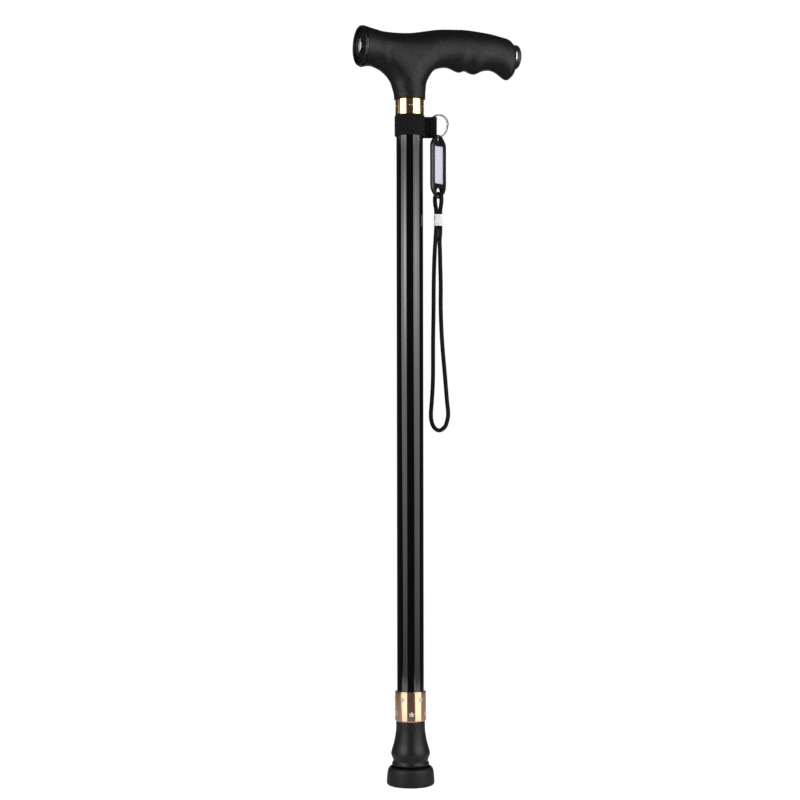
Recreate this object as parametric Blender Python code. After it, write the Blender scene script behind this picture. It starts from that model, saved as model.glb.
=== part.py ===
"""Telescopic walking stick with a torch in its T handle, a pivoting foot, a key tag and a wrist loop.

Metres, +Z up. The origin is the middle of the sole. The handle runs along X, its torch end at -X.
Heights are stacked from the sole: foot, boot, lock ring, tube, collar, handle.
"""
import math

import bmesh
import bpy
from mathutils import Matrix, Vector
from mathutils.geometry import interpolate_bezier

# General clearances
SEAT_GAP = 0.0003
SLIDE_GAP = 0.0002
ROUND_SIDES = 32
SMALL_SIDES = 20
SMOOTH_ANGLE = math.radians(35.0)

# Foot: a ball in a liner, in a cup, in a wide rubber pad
BALL_CENTRE_Z = 0.0105
BALL_RADIUS = 0.0045
LINER_WALL = 0.0012
CUP_WALL = 0.0012
STUD_STEM_RADIUS = 0.0030
STUD_HEAD_RADIUS = 0.0070
STUD_HEAD_THICKNESS = 0.0030
SOCKET_MOUTH_ANGLE = 52.0
PAD_RADIUS = 0.0197
PAD_SHOULDER_RADIUS = 0.0169
PAD_HEIGHT = 0.0149
PAD_EDGE = 0.0018
PAD_DISH_RADIUS = 0.0163
PAD_DISH_DEPTH = 0.0034
PAD_LEAN = 0.0007
PAD_SHOULDER_DROP = 0.0017
PAD_ROUNDING = 0.0005
TREAD_DEPTH = 0.0010
TREAD_WIDTH = 0.0016
TREAD_INNER_RADIUS = 0.0078
TREAD_PITCH = 0.0042

# Boot on the lower end of the inner tube
BOOT_BASE_Z = 0.0136
BOOT_HEIGHT = 0.0387
BOOT_TOP_RADIUS = 0.0120
BOOT_BULGE_RADIUS = 0.0161
BOOT_WAIST_RADIUS = 0.0144
BOOT_RING_RADIUS = 0.01546
BOOT_SKIRT_RADIUS = 0.0125
BOOT_SKIRT_WALL = 0.0021
BOOT_WEB_Z = 0.0163
WASHER_THICKNESS = 0.0012
BOOT_GRIP_DEPTH = 0.0204
BOOT_RING_RISE = 0.0038
BOOT_WAIST_RISE = 0.0026
BOOT_BULGE_RISE = 0.0057
BOOT_ROUNDING = 0.0010

# Inner tube
INNER_TUBE_RADIUS = 0.0095
INNER_TUBE_WALL = 0.0010
INNER_TUBE_LENGTH = 0.3510
END_PLUG_FLANGE = 0.0008
END_PLUG_LENGTH = 0.0100
GLIDE_HEIGHT = 0.0120
GLIDE_SPIGOT = 0.0100

# Lower twist lock
LOCK_RING_RADIUS = 0.01275
LOCK_RING_HEIGHT = 0.0252
LOCK_RING_WALL = 0.0007
LOCK_RING_EDGE = 0.0008
LOCK_RING_LIP = 0.0010
LOCK_CONE_HEIGHT = 0.0050
LOCK_CONE_DROP = 0.0010
COLLET_SLIT = 0.0010
COLLET_SLIT_HEIGHT = 0.0060
TUBE_INSET = 0.0094

# Outer tube and upper collar
TUBE_RADIUS = 0.0111
TUBE_WALL = 0.0012
TUBE_BARE_LENGTH = 0.4748
COLLAR_RADIUS = 0.01187
COLLAR_HEIGHT = 0.0131
COLLAR_EDGE = 0.0003
TUBE_SOCKET_DEPTH = 0.0300
TUBE_PLUG_LENGTH = 0.0240
TUBE_PLUG_FLANGE = 0.0020
TUBE_PLUG_WALL = 0.0020

# Handle
HANDLE_WALL = 0.0026
HANDLE_SPLIT = 0.0003
HANDLE_SMOOTH_LEVEL = 1
HANDLE_FIT_PASSES = 24
RIB_THICKNESS = 0.0024
SHELF_HEIGHT = 0.0042
NOSE_X = -0.0420
GRIP_X = 0.0195
NECK_RADIUS = 0.0130
STATION_SPACE = 0.0006

# Torch in the handle
BEZEL_RADIUS = 0.0165
BEZEL_LIP = 0.0022
BEZEL_DISH_DROP = 0.0002
BEZEL_SPIGOT_RADIUS = 0.0093
BEZEL_SPIGOT_LENGTH = 0.0110
LENS_RADIUS = 0.0062
LENS_THICKNESS = 0.0008
LENS_RECESS = 0.0009
REFLECTOR_WALL = 0.0005
REFLECTOR_DEPTH = 0.0090
REFLECTOR_HOLE_RADIUS = 0.0022
REFLECTOR_WAIST_SHARE = 0.78
REFLECTOR_WAIST_DEPTH = 0.00495
BOARD_THICKNESS = 0.0012
LED_RADIUS = 0.0016
SLEEVE_RADIUS = 0.0065
SLEEVE_WALL = 0.0009
SLEEVE_OVER_PLUG = 0.0025
CELL_RADIUS = 0.00525
CELL_LENGTH = 0.0445
CELL_NUB_RADIUS = 0.0019
CELL_NUB_LENGTH = 0.0008
CONTACT_THICKNESS = 0.0006
SPRING_RADIUS = 0.0036
SPRING_WIRE_RADIUS = 0.0004
SPRING_LENGTH = 0.0084
SPRING_TURNS = 3
SWITCH_RADIUS = 0.0080
SWITCH_LENGTH = 0.0192
SWITCH_TO_TAIL = 0.0045
TRIM_RING_RADIUS = 0.0106
TRIM_RING_THICKNESS = 0.0006
CAP_RADIUS = 0.0103
CAP_THICKNESS = 0.0048
CAP_EDGE = 0.0014
CAP_LIP = 0.0010
CAP_SPIGOT_LENGTH = 0.0040
BUTTON_RADIUS = 0.0060
BUTTON_FLANGE = 0.0012
BUTTON_RISE = 0.0013
BUTTON_STEM_RADIUS = 0.0020
BUTTON_STEM_REACH = 0.0006
BUTTON_STEM_ROOM = 0.0010
BUTTON_TRAVEL = 0.0015

# Strap: right and back are measured from the tube's axis along the strap tab's own directions
TAB_TURN = math.radians(-22.0)
STRAP_WIDTH = 0.0168
STRAP_THICKNESS = 0.00115
STRAP_DROP = 0.0003
TAB_FRONT = 0.0050
TAB_END = 0.0227
TAB_WALL = 0.0009
TAB_BULGE = 0.0055
STRAP_BACK_ANGLE = 66.0

# Split ring, key tag and cords hang below the tab
RING_RADIUS = 0.0094
RING_WIRE_WIDTH = 0.0012
RING_WIRE_THICKNESS = 0.00072
RING_TURN = math.radians(-35.0)
RING_RIGHT = 0.02360
RING_BACK = 0.0044
RING_HINGE_OFFSET = 0.0046
RING_RISE = 0.0005
RING_SWING = math.radians(5.0)
TAG_HALF_WIDTH = 0.0097
TAG_LENGTH = 0.0529
TAG_THICKNESS = 0.0035
TAG_TIP_THICKNESS = 0.0020
TAG_FOOT_THICKNESS = 0.0016
TAG_WEB = 0.0010
TAG_WEB_ROOM = 0.0006
TAG_SHOULDER = 0.0084
TAG_FOOT_SHOULDER = 0.0096
TAG_FLAT_MARGIN = 0.0012
TAG_SLOT_WIDTH = 0.0046
TAG_SLOT_HEIGHT = 0.0052
TAG_SLOT_CORNER = 0.0006
TAG_HOLE_WIDTH = 0.0082
TAG_HOLE_HEIGHT = 0.0068
TAG_HOLE_CORNER = 0.0019
TAG_FOOT_WEB = 0.0018
TAG_EDGE = 0.0005
LABEL_WIDTH = 0.0142
LABEL_HEIGHT = 0.0313
LABEL_THICKNESS = 0.0002
LABEL_DROP = 0.0094
WINDOW_THICKNESS = 0.0005
WINDOW_DEPTH = 0.0023
FLAT_GAP = 0.00015
CORD_RADIUS = 0.0016
CORD_SPACING = 0.0070
CRIMP_WIDTH = 0.0072
CRIMP_DEPTH = 0.0040
CRIMP_HEIGHT = 0.0098
CRIMP_WALL = 0.0003
CRIMP_DROP = 0.0131

# Handle stations, their heights above the torch axis. Ahead of the neck: along X, lower, upper, half width
FRONT_STATIONS = [
    (NOSE_X, -0.0172, 0.0167, 0.0169),
    (-0.0385, -0.0164, 0.0159, 0.0160),
    (-0.0340, -0.0160, 0.0149, 0.0152),
    (-0.0290, -0.0174, 0.0139, 0.0146),
    (-0.0243, -0.0197, 0.0132, 0.0142),
]
# Over the neck: along X, height of the side, upper height, half width
NECK_STATIONS = [
    (-0.0140, -0.0045, 0.0128, 0.0138),
    (-0.0010, -0.0045, 0.0134, 0.0137),
    (0.0100, -0.0040, 0.0152, 0.0137),
]
# Behind the neck, the grip and its hooked tail: share of the grip's length, lower, upper, half width
GRIP_STATIONS = [
    (0.0, -0.0180, 0.0171, 0.0138),
    (0.068, -0.0147, 0.0179, 0.0138),
    (0.164, -0.0131, 0.0186, 0.0139),
    (0.259, -0.0141, 0.0190, 0.0141),
    (0.348, -0.0162, 0.0194, 0.0143),
    (0.423, -0.0149, 0.0194, 0.0142),
    (0.518, -0.0170, 0.0191, 0.0144),
    (0.607, -0.0147, 0.0186, 0.0142),
    (0.716, -0.0128, 0.0178, 0.0138),
    (0.825, -0.0148, 0.0165, 0.0132),
    (0.921, -0.0194, 0.0152, 0.0126),
    (0.969, -0.0189, 0.0137, 0.0121),
    (1.0, -0.0167, 0.0110, 0.0110),
]
# Neck rings from the arm down: height, front and back reach along X, half width
NECK_RINGS = [
    (-0.0243, -0.0189, 0.0156, 0.0134),
    (-0.0303, -0.0154, 0.0137, 0.0131),
    (-0.0368, -0.0133, 0.0131, NECK_RADIUS),
]
RIB_PLACES = [-0.0210, 0.0220, 0.0380, 0.0540]

# The boot from its bulge up: share of the height, share of the radius beyond the top's
BOOT_TAPER = [(0.098, 0.90), (0.26, 0.585), (0.414, 0.34), (0.568, 0.16), (0.722, 0.024)]

# The tag's rounded ends: share of the half width, share of the shoulder's height
TAG_TOP_CURVE = [(0.29, 0.0), (0.464, 0.13), (0.66, 0.345), (0.876, 0.643), (1.0, 1.0)]
TAG_FOOT_CURVE = [(1.0, 1.0), (0.948, 0.719), (0.784, 0.458), (0.536, 0.229), (0.371, 0.073), (0.206, 0.0)]

# Heights that follow from the sizes above
BOOT_TOP_Z = BOOT_BASE_Z + BOOT_HEIGHT
LOCK_RING_Z = BOOT_TOP_Z + SEAT_GAP
LOCK_RING_TOP_Z = LOCK_RING_Z + LOCK_RING_HEIGHT
TUBE_BOTTOM_Z = LOCK_RING_Z + TUBE_INSET
COLLAR_Z = LOCK_RING_TOP_Z + TUBE_BARE_LENGTH
HANDLE_BASE_Z = COLLAR_Z + COLLAR_HEIGHT + SEAT_GAP
TUBE_TOP_Z = HANDLE_BASE_Z + TUBE_SOCKET_DEPTH
TORCH_AXIS_HEIGHT = TUBE_SOCKET_DEPTH + SEAT_GAP + TUBE_PLUG_FLANGE + SLEEVE_OVER_PLUG + SLEEVE_RADIUS
TORCH_AXIS_Z = HANDLE_BASE_Z + TORCH_AXIS_HEIGHT
SOCKET_FLOOR_Z = BOOT_TOP_Z - BOOT_GRIP_DEPTH
WASHER_Z = SOCKET_FLOOR_Z + SEAT_GAP
PLUG_FLANGE_Z = WASHER_Z + WASHER_THICKNESS + SEAT_GAP
INNER_TUBE_Z = PLUG_FLANGE_Z + END_PLUG_FLANGE + SEAT_GAP
INNER_TUBE_TOP_Z = INNER_TUBE_Z + INNER_TUBE_LENGTH
STRAP_TOP_Z = COLLAR_Z - STRAP_DROP
STRAP_Z = STRAP_TOP_Z - STRAP_WIDTH
RING_Z = STRAP_Z + STRAP_WIDTH / 2 + RING_RISE
RING_BOTTOM_Z = RING_Z - RING_RADIUS
TAG_TOP_Z = RING_BOTTOM_Z + TAG_WEB + RING_WIRE_WIDTH / 2 + TAG_WEB_ROOM
TAG_BOTTOM_Z = TAG_TOP_Z - TAG_LENGTH
TAG_WEB_CENTRE_Z = TAG_BOTTOM_Z + TAG_FOOT_WEB / 2
CRIMP_TOP_Z = TAG_WEB_CENTRE_Z - CRIMP_DROP
CRIMP_Z = CRIMP_TOP_Z - CRIMP_HEIGHT

# Places along the torch that follow from its parts
FRONT_FACE_X = NOSE_X - SEAT_GAP - BEZEL_LIP
SPIGOT_END_X = NOSE_X + BEZEL_SPIGOT_LENGTH
LENS_FRONT_X = FRONT_FACE_X + LENS_RECESS
LENS_BACK_X = LENS_FRONT_X + LENS_THICKNESS
REFLECTOR_MOUTH_X = LENS_BACK_X + SEAT_GAP
REFLECTOR_END_X = REFLECTOR_MOUTH_X + REFLECTOR_DEPTH
BOARD_X = REFLECTOR_END_X + SEAT_GAP
SLEEVE_X = SPIGOT_END_X + SEAT_GAP * 2
CONTACT_X = SLEEVE_X + SEAT_GAP
CELL_FRONT_X = CONTACT_X + CONTACT_THICKNESS + SEAT_GAP
CELL_REAR_X = CELL_FRONT_X + CELL_LENGTH + SEAT_GAP
SPRING_X = CELL_REAR_X + CELL_LENGTH + SEAT_GAP
SWITCH_X = SPRING_X + SPRING_LENGTH + SEAT_GAP
SLEEVE_END_X = SWITCH_X - SEAT_GAP
SWITCH_END_X = SWITCH_X + SWITCH_LENGTH
TAIL_X = SWITCH_END_X + SWITCH_TO_TAIL
TRIM_RING_X = TAIL_X + FLAT_GAP
CAP_X = TRIM_RING_X + TRIM_RING_THICKNESS + FLAT_GAP
CAP_END_X = CAP_X + CAP_THICKNESS

# Clearance radii shared by pieces that fit each other
BEZEL_BORE_RADIUS = BEZEL_SPIGOT_RADIUS + SEAT_GAP
SLEEVE_BORE_RADIUS = SLEEVE_RADIUS + SEAT_GAP
SWITCH_BORE_RADIUS = SWITCH_RADIUS + SEAT_GAP
TUBE_SOCKET_RADIUS = TUBE_RADIUS + SLIDE_GAP
LINER_BORE_RADIUS = BALL_RADIUS + SLIDE_GAP
LINER_RADIUS = LINER_BORE_RADIUS + LINER_WALL
CUP_BORE_RADIUS = LINER_RADIUS + SLIDE_GAP
CUP_RADIUS = CUP_BORE_RADIUS + CUP_WALL
CUP_BASE_Z = BALL_CENTRE_Z - CUP_BORE_RADIUS - CUP_WALL
CUP_TOP_Z = BALL_CENTRE_Z + CUP_BORE_RADIUS * math.cos(math.radians(SOCKET_MOUTH_ANGLE))
STRAP_BORE_RADIUS = TUBE_RADIUS + SLIDE_GAP
STRAP_RADIUS = STRAP_BORE_RADIUS + STRAP_THICKNESS


def finish(name, colour, roughness, metallic=0.0, alpha=1.0):
    """A plain surface finish."""
    material = bpy.data.materials.new(name)
    material.use_nodes = True
    surface = material.node_tree.nodes["Principled BSDF"]
    surface.inputs["Base Color"].default_value = (*colour, 1.0)
    surface.inputs["Roughness"].default_value = roughness
    surface.inputs["Metallic"].default_value = metallic
    surface.inputs["Alpha"].default_value = alpha
    return material


def world_place(item):
    """World location of an unturned empty, summed through its parents."""
    place = Vector((0.0, 0.0, 0.0))
    while item is not None:
        place += item.location
        item = item.parent
    return place


def pivot(name, location, parent=None):
    """An empty on a joint's axis."""
    empty = bpy.data.objects.new(name, None)
    bpy.context.collection.objects.link(empty)
    empty.empty_display_size = 0.01
    empty.parent = parent
    empty.location = Vector(location) - world_place(parent)
    return empty


def add_piece(name, mesh, material, parent, location=(0.0, 0.0, 0.0), turn=(0.0, 0.0, 0.0)):
    """A named solid at a world location, carried by its joint's empty."""
    mesh.shade_smooth()
    mesh.set_sharp_from_angle(angle=SMOOTH_ANGLE)
    piece = bpy.data.objects.new(name, mesh)
    bpy.context.collection.objects.link(piece)
    piece.parent = parent
    piece.location = Vector(location) - world_place(parent)
    piece.rotation_euler = turn
    if material is not None:
        mesh.materials.append(material)
    return piece


def add_guide(name, mesh, location=(0.0, 0.0, 0.0), turn=(0.0, 0.0, 0.0)):
    """A cutting shape, kept out of the model."""
    guide = add_piece(name, mesh, None, None, location, turn)
    guide.hide_render = True
    guide.display_type = "WIRE"
    return guide


def to_mesh(shape, name):
    """Close a bmesh into a mesh with its faces pointing out."""
    bmesh.ops.recalc_face_normals(shape, faces=shape.faces)
    mesh = bpy.data.meshes.new(name)
    shape.to_mesh(mesh)
    shape.free()
    return mesh


def turned(name, outline, sides=ROUND_SIDES):
    """A solid of revolution from a closed outline of radius and height."""
    shape = bmesh.new()
    corners = [shape.verts.new((radius, 0.0, height)) for radius, height in outline]
    for start, end in zip(corners, corners[1:] + corners[:1]):
        if start.co.x > 0.0 or end.co.x > 0.0:
            shape.edges.new((start, end))
    line = shape.verts[:] + shape.edges[:]
    bmesh.ops.spin(
        shape, geom=line, cent=(0, 0, 0), axis=(0, 0, 1), angle=math.tau, steps=sides, use_merge=True)
    bmesh.ops.remove_doubles(shape, verts=shape.verts, dist=1e-6)
    return to_mesh(shape, name)


def block(name, low, high):
    """A box between two corners."""
    shape = bmesh.new()
    bmesh.ops.create_cube(shape, size=1.0)
    size = Vector(high) - Vector(low)
    middle = (Vector(high) + Vector(low)) / 2
    bmesh.ops.scale(shape, vec=size, verts=shape.verts)
    bmesh.ops.translate(shape, vec=middle, verts=shape.verts)
    return to_mesh(shape, name)


def plate(name, outline, low, high):
    """A flat outline in X and Y, raised from one height to another."""
    shape = bmesh.new()
    corners = [shape.verts.new((across, along, low)) for across, along in outline]
    base = shape.faces.new(corners)
    raised = bmesh.ops.extrude_face_region(shape, geom=[base])
    top = [item for item in raised["geom"] if isinstance(item, bmesh.types.BMVert)]
    bmesh.ops.translate(shape, vec=(0.0, 0.0, high - low), verts=top)
    return to_mesh(shape, name)


def coil(name, section, turns, pitch, steps_per_turn):
    """A wire wound about Z, from a closed section of radius and height."""
    shape = bmesh.new()
    corners = [shape.verts.new((radius, 0.0, height)) for radius, height in section]
    start = shape.faces.new(corners)
    rim = start.verts[:] + start.edges[:]
    steps = turns * steps_per_turn
    wound = bmesh.ops.spin(
        shape, geom=rim, cent=(0, 0, 0), axis=(0, 0, 1), dvec=(0, 0, pitch / steps_per_turn),
        angle=math.tau * turns, steps=steps)
    last = [item for item in wound["geom_last"] if isinstance(item, bmesh.types.BMEdge)]
    bmesh.ops.contextual_create(shape, geom=last)
    return to_mesh(shape, name)


def arc(centre, radius, start, end, steps):
    """Points of radius and height along a round stretch, angles in degrees from the outward side."""
    points = []
    for step in range(steps + 1):
        angle = math.radians(start + (end - start) * step / steps)
        points.append((centre[0] + radius * math.cos(angle), centre[1] + radius * math.sin(angle)))
    return points


def cut(piece, *guides, solver="EXACT"):
    """Take each guide's shape out of a piece."""
    for guide in guides:
        boolean = piece.modifiers.new(guide.name, "BOOLEAN")
        boolean.operation = "DIFFERENCE"
        boolean.object = guide
        boolean.solver = solver


def ease_edges(piece, width, segments=1):
    """Break the sharp edges of a piece."""
    bevel = piece.modifiers.new("eased edges", "BEVEL")
    bevel.width = width
    bevel.segments = segments
    bevel.limit_method = "ANGLE"
    bevel.angle_limit = math.radians(40.0)


def smooth_route(points, spacing):
    """Points on one smooth curve through the given points, about the spacing apart."""
    path = [Vector(point) for point in points]
    reach = [path[0] * 2 - path[1]] + path + [path[-1] * 2 - path[-2]]
    route = [path[0]]
    for before, start, end, after in zip(reach, reach[1:], reach[2:], reach[3:]):
        length = (end - start).length
        steps = max(1, round(length / spacing))
        leave = start + (end - before).normalized() * length / 3
        arrive = end - (after - start).normalized() * length / 3
        route += interpolate_bezier(start, leave, arrive, end, steps + 1)[1:]
    return route


def add_cord(name, points, material, parent):
    """A round cord along a smooth route."""
    route = smooth_route(points, CORD_SPACING)
    curve = bpy.data.curves.new(name, "CURVE")
    curve.dimensions = "3D"
    curve.bevel_depth = CORD_RADIUS
    curve.bevel_resolution = 2
    curve.use_fill_caps = True
    spline = curve.splines.new("POLY")
    spline.points.add(len(route) - 1)
    start = world_place(parent)
    for point, place in zip(spline.points, route):
        point.co = (*(place - start), 1.0)
    curve.materials.append(material)
    cord = bpy.data.objects.new(name, curve)
    bpy.context.collection.objects.link(cord)
    cord.parent = parent
    return cord


def limit_place(corner, crease):
    """Where a subdivision surface passes for one corner of its cage."""
    sharp = [edge for edge in corner.link_edges if edge[crease] > 0.0]
    if sharp:
        ends = [edge.other_vert(corner).co for edge in sharp]
        return (corner.co * 4 + ends[0] + ends[1]) / 6
    count = len(corner.link_edges)
    place = corner.co * count * count
    for edge in corner.link_edges:
        place += edge.other_vert(corner).co * 4
    for face in corner.link_faces:
        loop = next(loop for loop in face.loops if loop.vert == corner)
        place += loop.link_loop_next.link_loop_next.vert.co
    return place / (count * (count + 5))


def section_ring(shape, inset, along, low, high, half_width):
    """Eight corners round the arm, from the top over the +Y side."""
    middle = (low + high) / 2
    half_height = (high - low) / 2 - inset
    along = min(max(along, NOSE_X + inset), TAIL_X - inset)
    ring = []
    for step in range(8):
        angle = math.tau * step / 8
        place = (along, (half_width - inset) * math.sin(angle), middle + half_height * math.cos(angle))
        ring.append(shape.verts.new(place))
    return ring


def saddle(shape, inset, along, side, high, half_width):
    """The upper corners of the arm over the neck, numbered as in a full ring."""
    slant = math.sqrt(0.5)
    high -= inset
    half_width -= inset
    shoulder = side + (high - side) * slant
    return {
        0: shape.verts.new((along, 0.0, high)),
        1: shape.verts.new((along, half_width * slant, shoulder)),
        2: shape.verts.new((along, half_width, side)),
        6: shape.verts.new((along, -half_width, side)),
        7: shape.verts.new((along, -half_width * slant, shoulder)),
    }


def neck_ring(shape, inset, height, front, back, half_width):
    """Sixteen corners round the neck, from the front over the +Y side."""
    middle = (front + back) / 2
    reach = (back - front) / 2 - inset
    half_width -= inset
    height = max(height, inset - TORCH_AXIS_HEIGHT)
    ring = []
    for step in range(16):
        angle = math.pi - math.tau * step / 16
        ring.append(shape.verts.new((middle + reach * math.cos(angle), half_width * math.sin(angle), height)))
    return ring


def join_rings(shape, first, second, steps):
    """Quads between like-numbered corners of two rings."""
    for here, there in steps:
        shape.faces.new((first[here], first[there], second[there], second[here]))


def close_end(shape, ring, crease):
    """A flat end with a crisp rim."""
    shape.faces.new(ring)
    for here, there in zip(ring, ring[1:] + ring[:1]):
        shape.edges.get((here, there))[crease] = 1.0


def handle_cage(inset=0.0):
    """The cage of the T handle, drawn so that its smooth skin passes through the inset stations."""
    shape = bmesh.new()
    crease = shape.edges.layers.float.new("crease_edge")
    all_round = [(step, (step + 1) % 8) for step in range(8)]
    over_top = [(0, 1), (1, 2), (6, 7), (7, 0)]
    nose_limit = NOSE_X + inset + STATION_SPACE
    tail_limit = TAIL_X - inset - STATION_SPACE
    nose_stations = FRONT_STATIONS[:1] + [station for station in FRONT_STATIONS if station[0] > nose_limit]
    grip_length = TAIL_X - GRIP_X
    placed = [(GRIP_X + share * grip_length, *section) for share, *section in GRIP_STATIONS]
    tail_stations = [station for station in placed if station[0] < tail_limit] + placed[-1:]
    fronts = [section_ring(shape, inset, *station) for station in nose_stations]
    saddles = [saddle(shape, inset, *station) for station in NECK_STATIONS]
    grips = [section_ring(shape, inset, *station) for station in tail_stations]
    for first, second in list(zip(fronts, fronts[1:])) + list(zip(grips, grips[1:])):
        join_rings(shape, first, second, all_round)
    tops = [fronts[-1]] + saddles + [grips[0]]
    for first, second in zip(tops, tops[1:]):
        join_rings(shape, first, second, over_top)
    front, back = fronts[-1], grips[0]
    mouth = [front[4], front[3], front[2]] + [ring[2] for ring in saddles]
    mouth += [back[2], back[3], back[4], back[5], back[6]]
    mouth += [ring[6] for ring in reversed(saddles)] + [front[6], front[5]]
    base_ring = (-TORCH_AXIS_HEIGHT, -NECK_RADIUS, NECK_RADIUS, NECK_RADIUS)
    necks = [mouth] + [neck_ring(shape, inset, *ring) for ring in NECK_RINGS + [base_ring]]
    for first, second in zip(necks, necks[1:]):
        join_rings(shape, first, second, [(step, (step + 1) % 16) for step in range(16)])
    for ring in (fronts[0], grips[-1], necks[-1]):
        close_end(shape, ring, crease)
    wanted = [corner.co.copy() for corner in shape.verts]
    for _ in range(HANDLE_FIT_PASSES):
        reached = [limit_place(corner, crease) for corner in shape.verts]
        for corner, goal, place in zip(shape.verts, wanted, reached):
            corner.co += goal - place
    return to_mesh(shape, "handle_cage")


def smooth_skin(piece):
    """Subdivide the handle's cage."""
    skin = piece.modifiers.new("smooth skin", "SUBSURF")
    skin.levels = HANDLE_SMOOTH_LEVEL
    skin.render_levels = HANDLE_SMOOTH_LEVEL


def handle_ribs():
    """Plates across the handle that carry the torch, and the shelf over the tube's end."""
    half_width = 0.03
    height = 0.03
    shape = bmesh.new()
    places = [SPIGOT_END_X - RIB_THICKNESS] + RIB_PLACES
    places += [SWITCH_X, SWITCH_END_X - RIB_THICKNESS]
    boxes = [((along, -half_width, -height), (along + RIB_THICKNESS, half_width, height)) for along in places]
    shelf_z = TUBE_TOP_Z - TORCH_AXIS_Z - SHELF_HEIGHT / 2
    shelf_reach = TUBE_SOCKET_RADIUS + HANDLE_WALL
    boxes.append(((-shelf_reach, -half_width, shelf_z), (shelf_reach, half_width, shelf_z + SHELF_HEIGHT)))
    for low, high in boxes:
        cube = bmesh.ops.create_cube(shape, size=1.0)["verts"]
        bmesh.ops.scale(shape, vec=Vector(high) - Vector(low), verts=cube)
        bmesh.ops.translate(shape, vec=(Vector(high) + Vector(low)) / 2, verts=cube)
    return to_mesh(shape, "handle_ribs")


def add_handle(plastic, parent):
    """Two moulded halves that meet on the middle plane round the torch and the tube."""
    place = (0.0, 0.0, TORCH_AXIS_Z)
    along_x = (0.0, math.pi / 2, 0.0)
    ribs = add_guide("handle_rib_guide", handle_ribs(), place)
    hollow = add_guide("handle_hollow_guide", handle_cage(HANDLE_WALL), place)
    smooth_skin(hollow)
    cut(hollow, ribs)
    beyond = 0.01
    bore = [
        (0.0, NOSE_X - beyond),
        (BEZEL_BORE_RADIUS, NOSE_X - beyond),
        (BEZEL_BORE_RADIUS, SPIGOT_END_X + SEAT_GAP),
        (SLEEVE_BORE_RADIUS, SPIGOT_END_X + SEAT_GAP),
        (SLEEVE_BORE_RADIUS, SWITCH_X - SEAT_GAP),
        (SWITCH_BORE_RADIUS, SWITCH_X - SEAT_GAP),
        (SWITCH_BORE_RADIUS, TAIL_X + beyond),
        (0.0, TAIL_X + beyond),
    ]
    torch_bore = add_guide("torch_bore_guide", turned("torch_bore_guide", bore), place, along_x)
    socket_top = TUBE_TOP_Z + SEAT_GAP + TUBE_PLUG_FLANGE + SEAT_GAP
    socket = [
        (0.0, HANDLE_BASE_Z - beyond),
        (TUBE_SOCKET_RADIUS, HANDLE_BASE_Z - beyond),
        (TUBE_SOCKET_RADIUS, socket_top),
        (0.0, socket_top),
    ]
    tube_socket = add_guide("tube_socket_guide", turned("tube_socket_guide", socket))
    reach = 0.2
    for name, side in (("handle_left_shell", -1), ("handle_right_shell", 1)):
        far = -side * reach
        near = side * HANDLE_SPLIT / 2
        low = (-reach, min(far, near), -reach)
        high = (reach, max(far, near), reach)
        half = add_guide(name + "_guide", block(name + "_guide", low, high), place)
        shell = add_piece(name, handle_cage(), plastic, parent, place)
        smooth_skin(shell)
        # The exact solver loses the whole shell on the ribbed hollow's many level faces
        cut(shell, hollow, half, torch_bore, tube_socket, solver="MANIFOLD")


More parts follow.
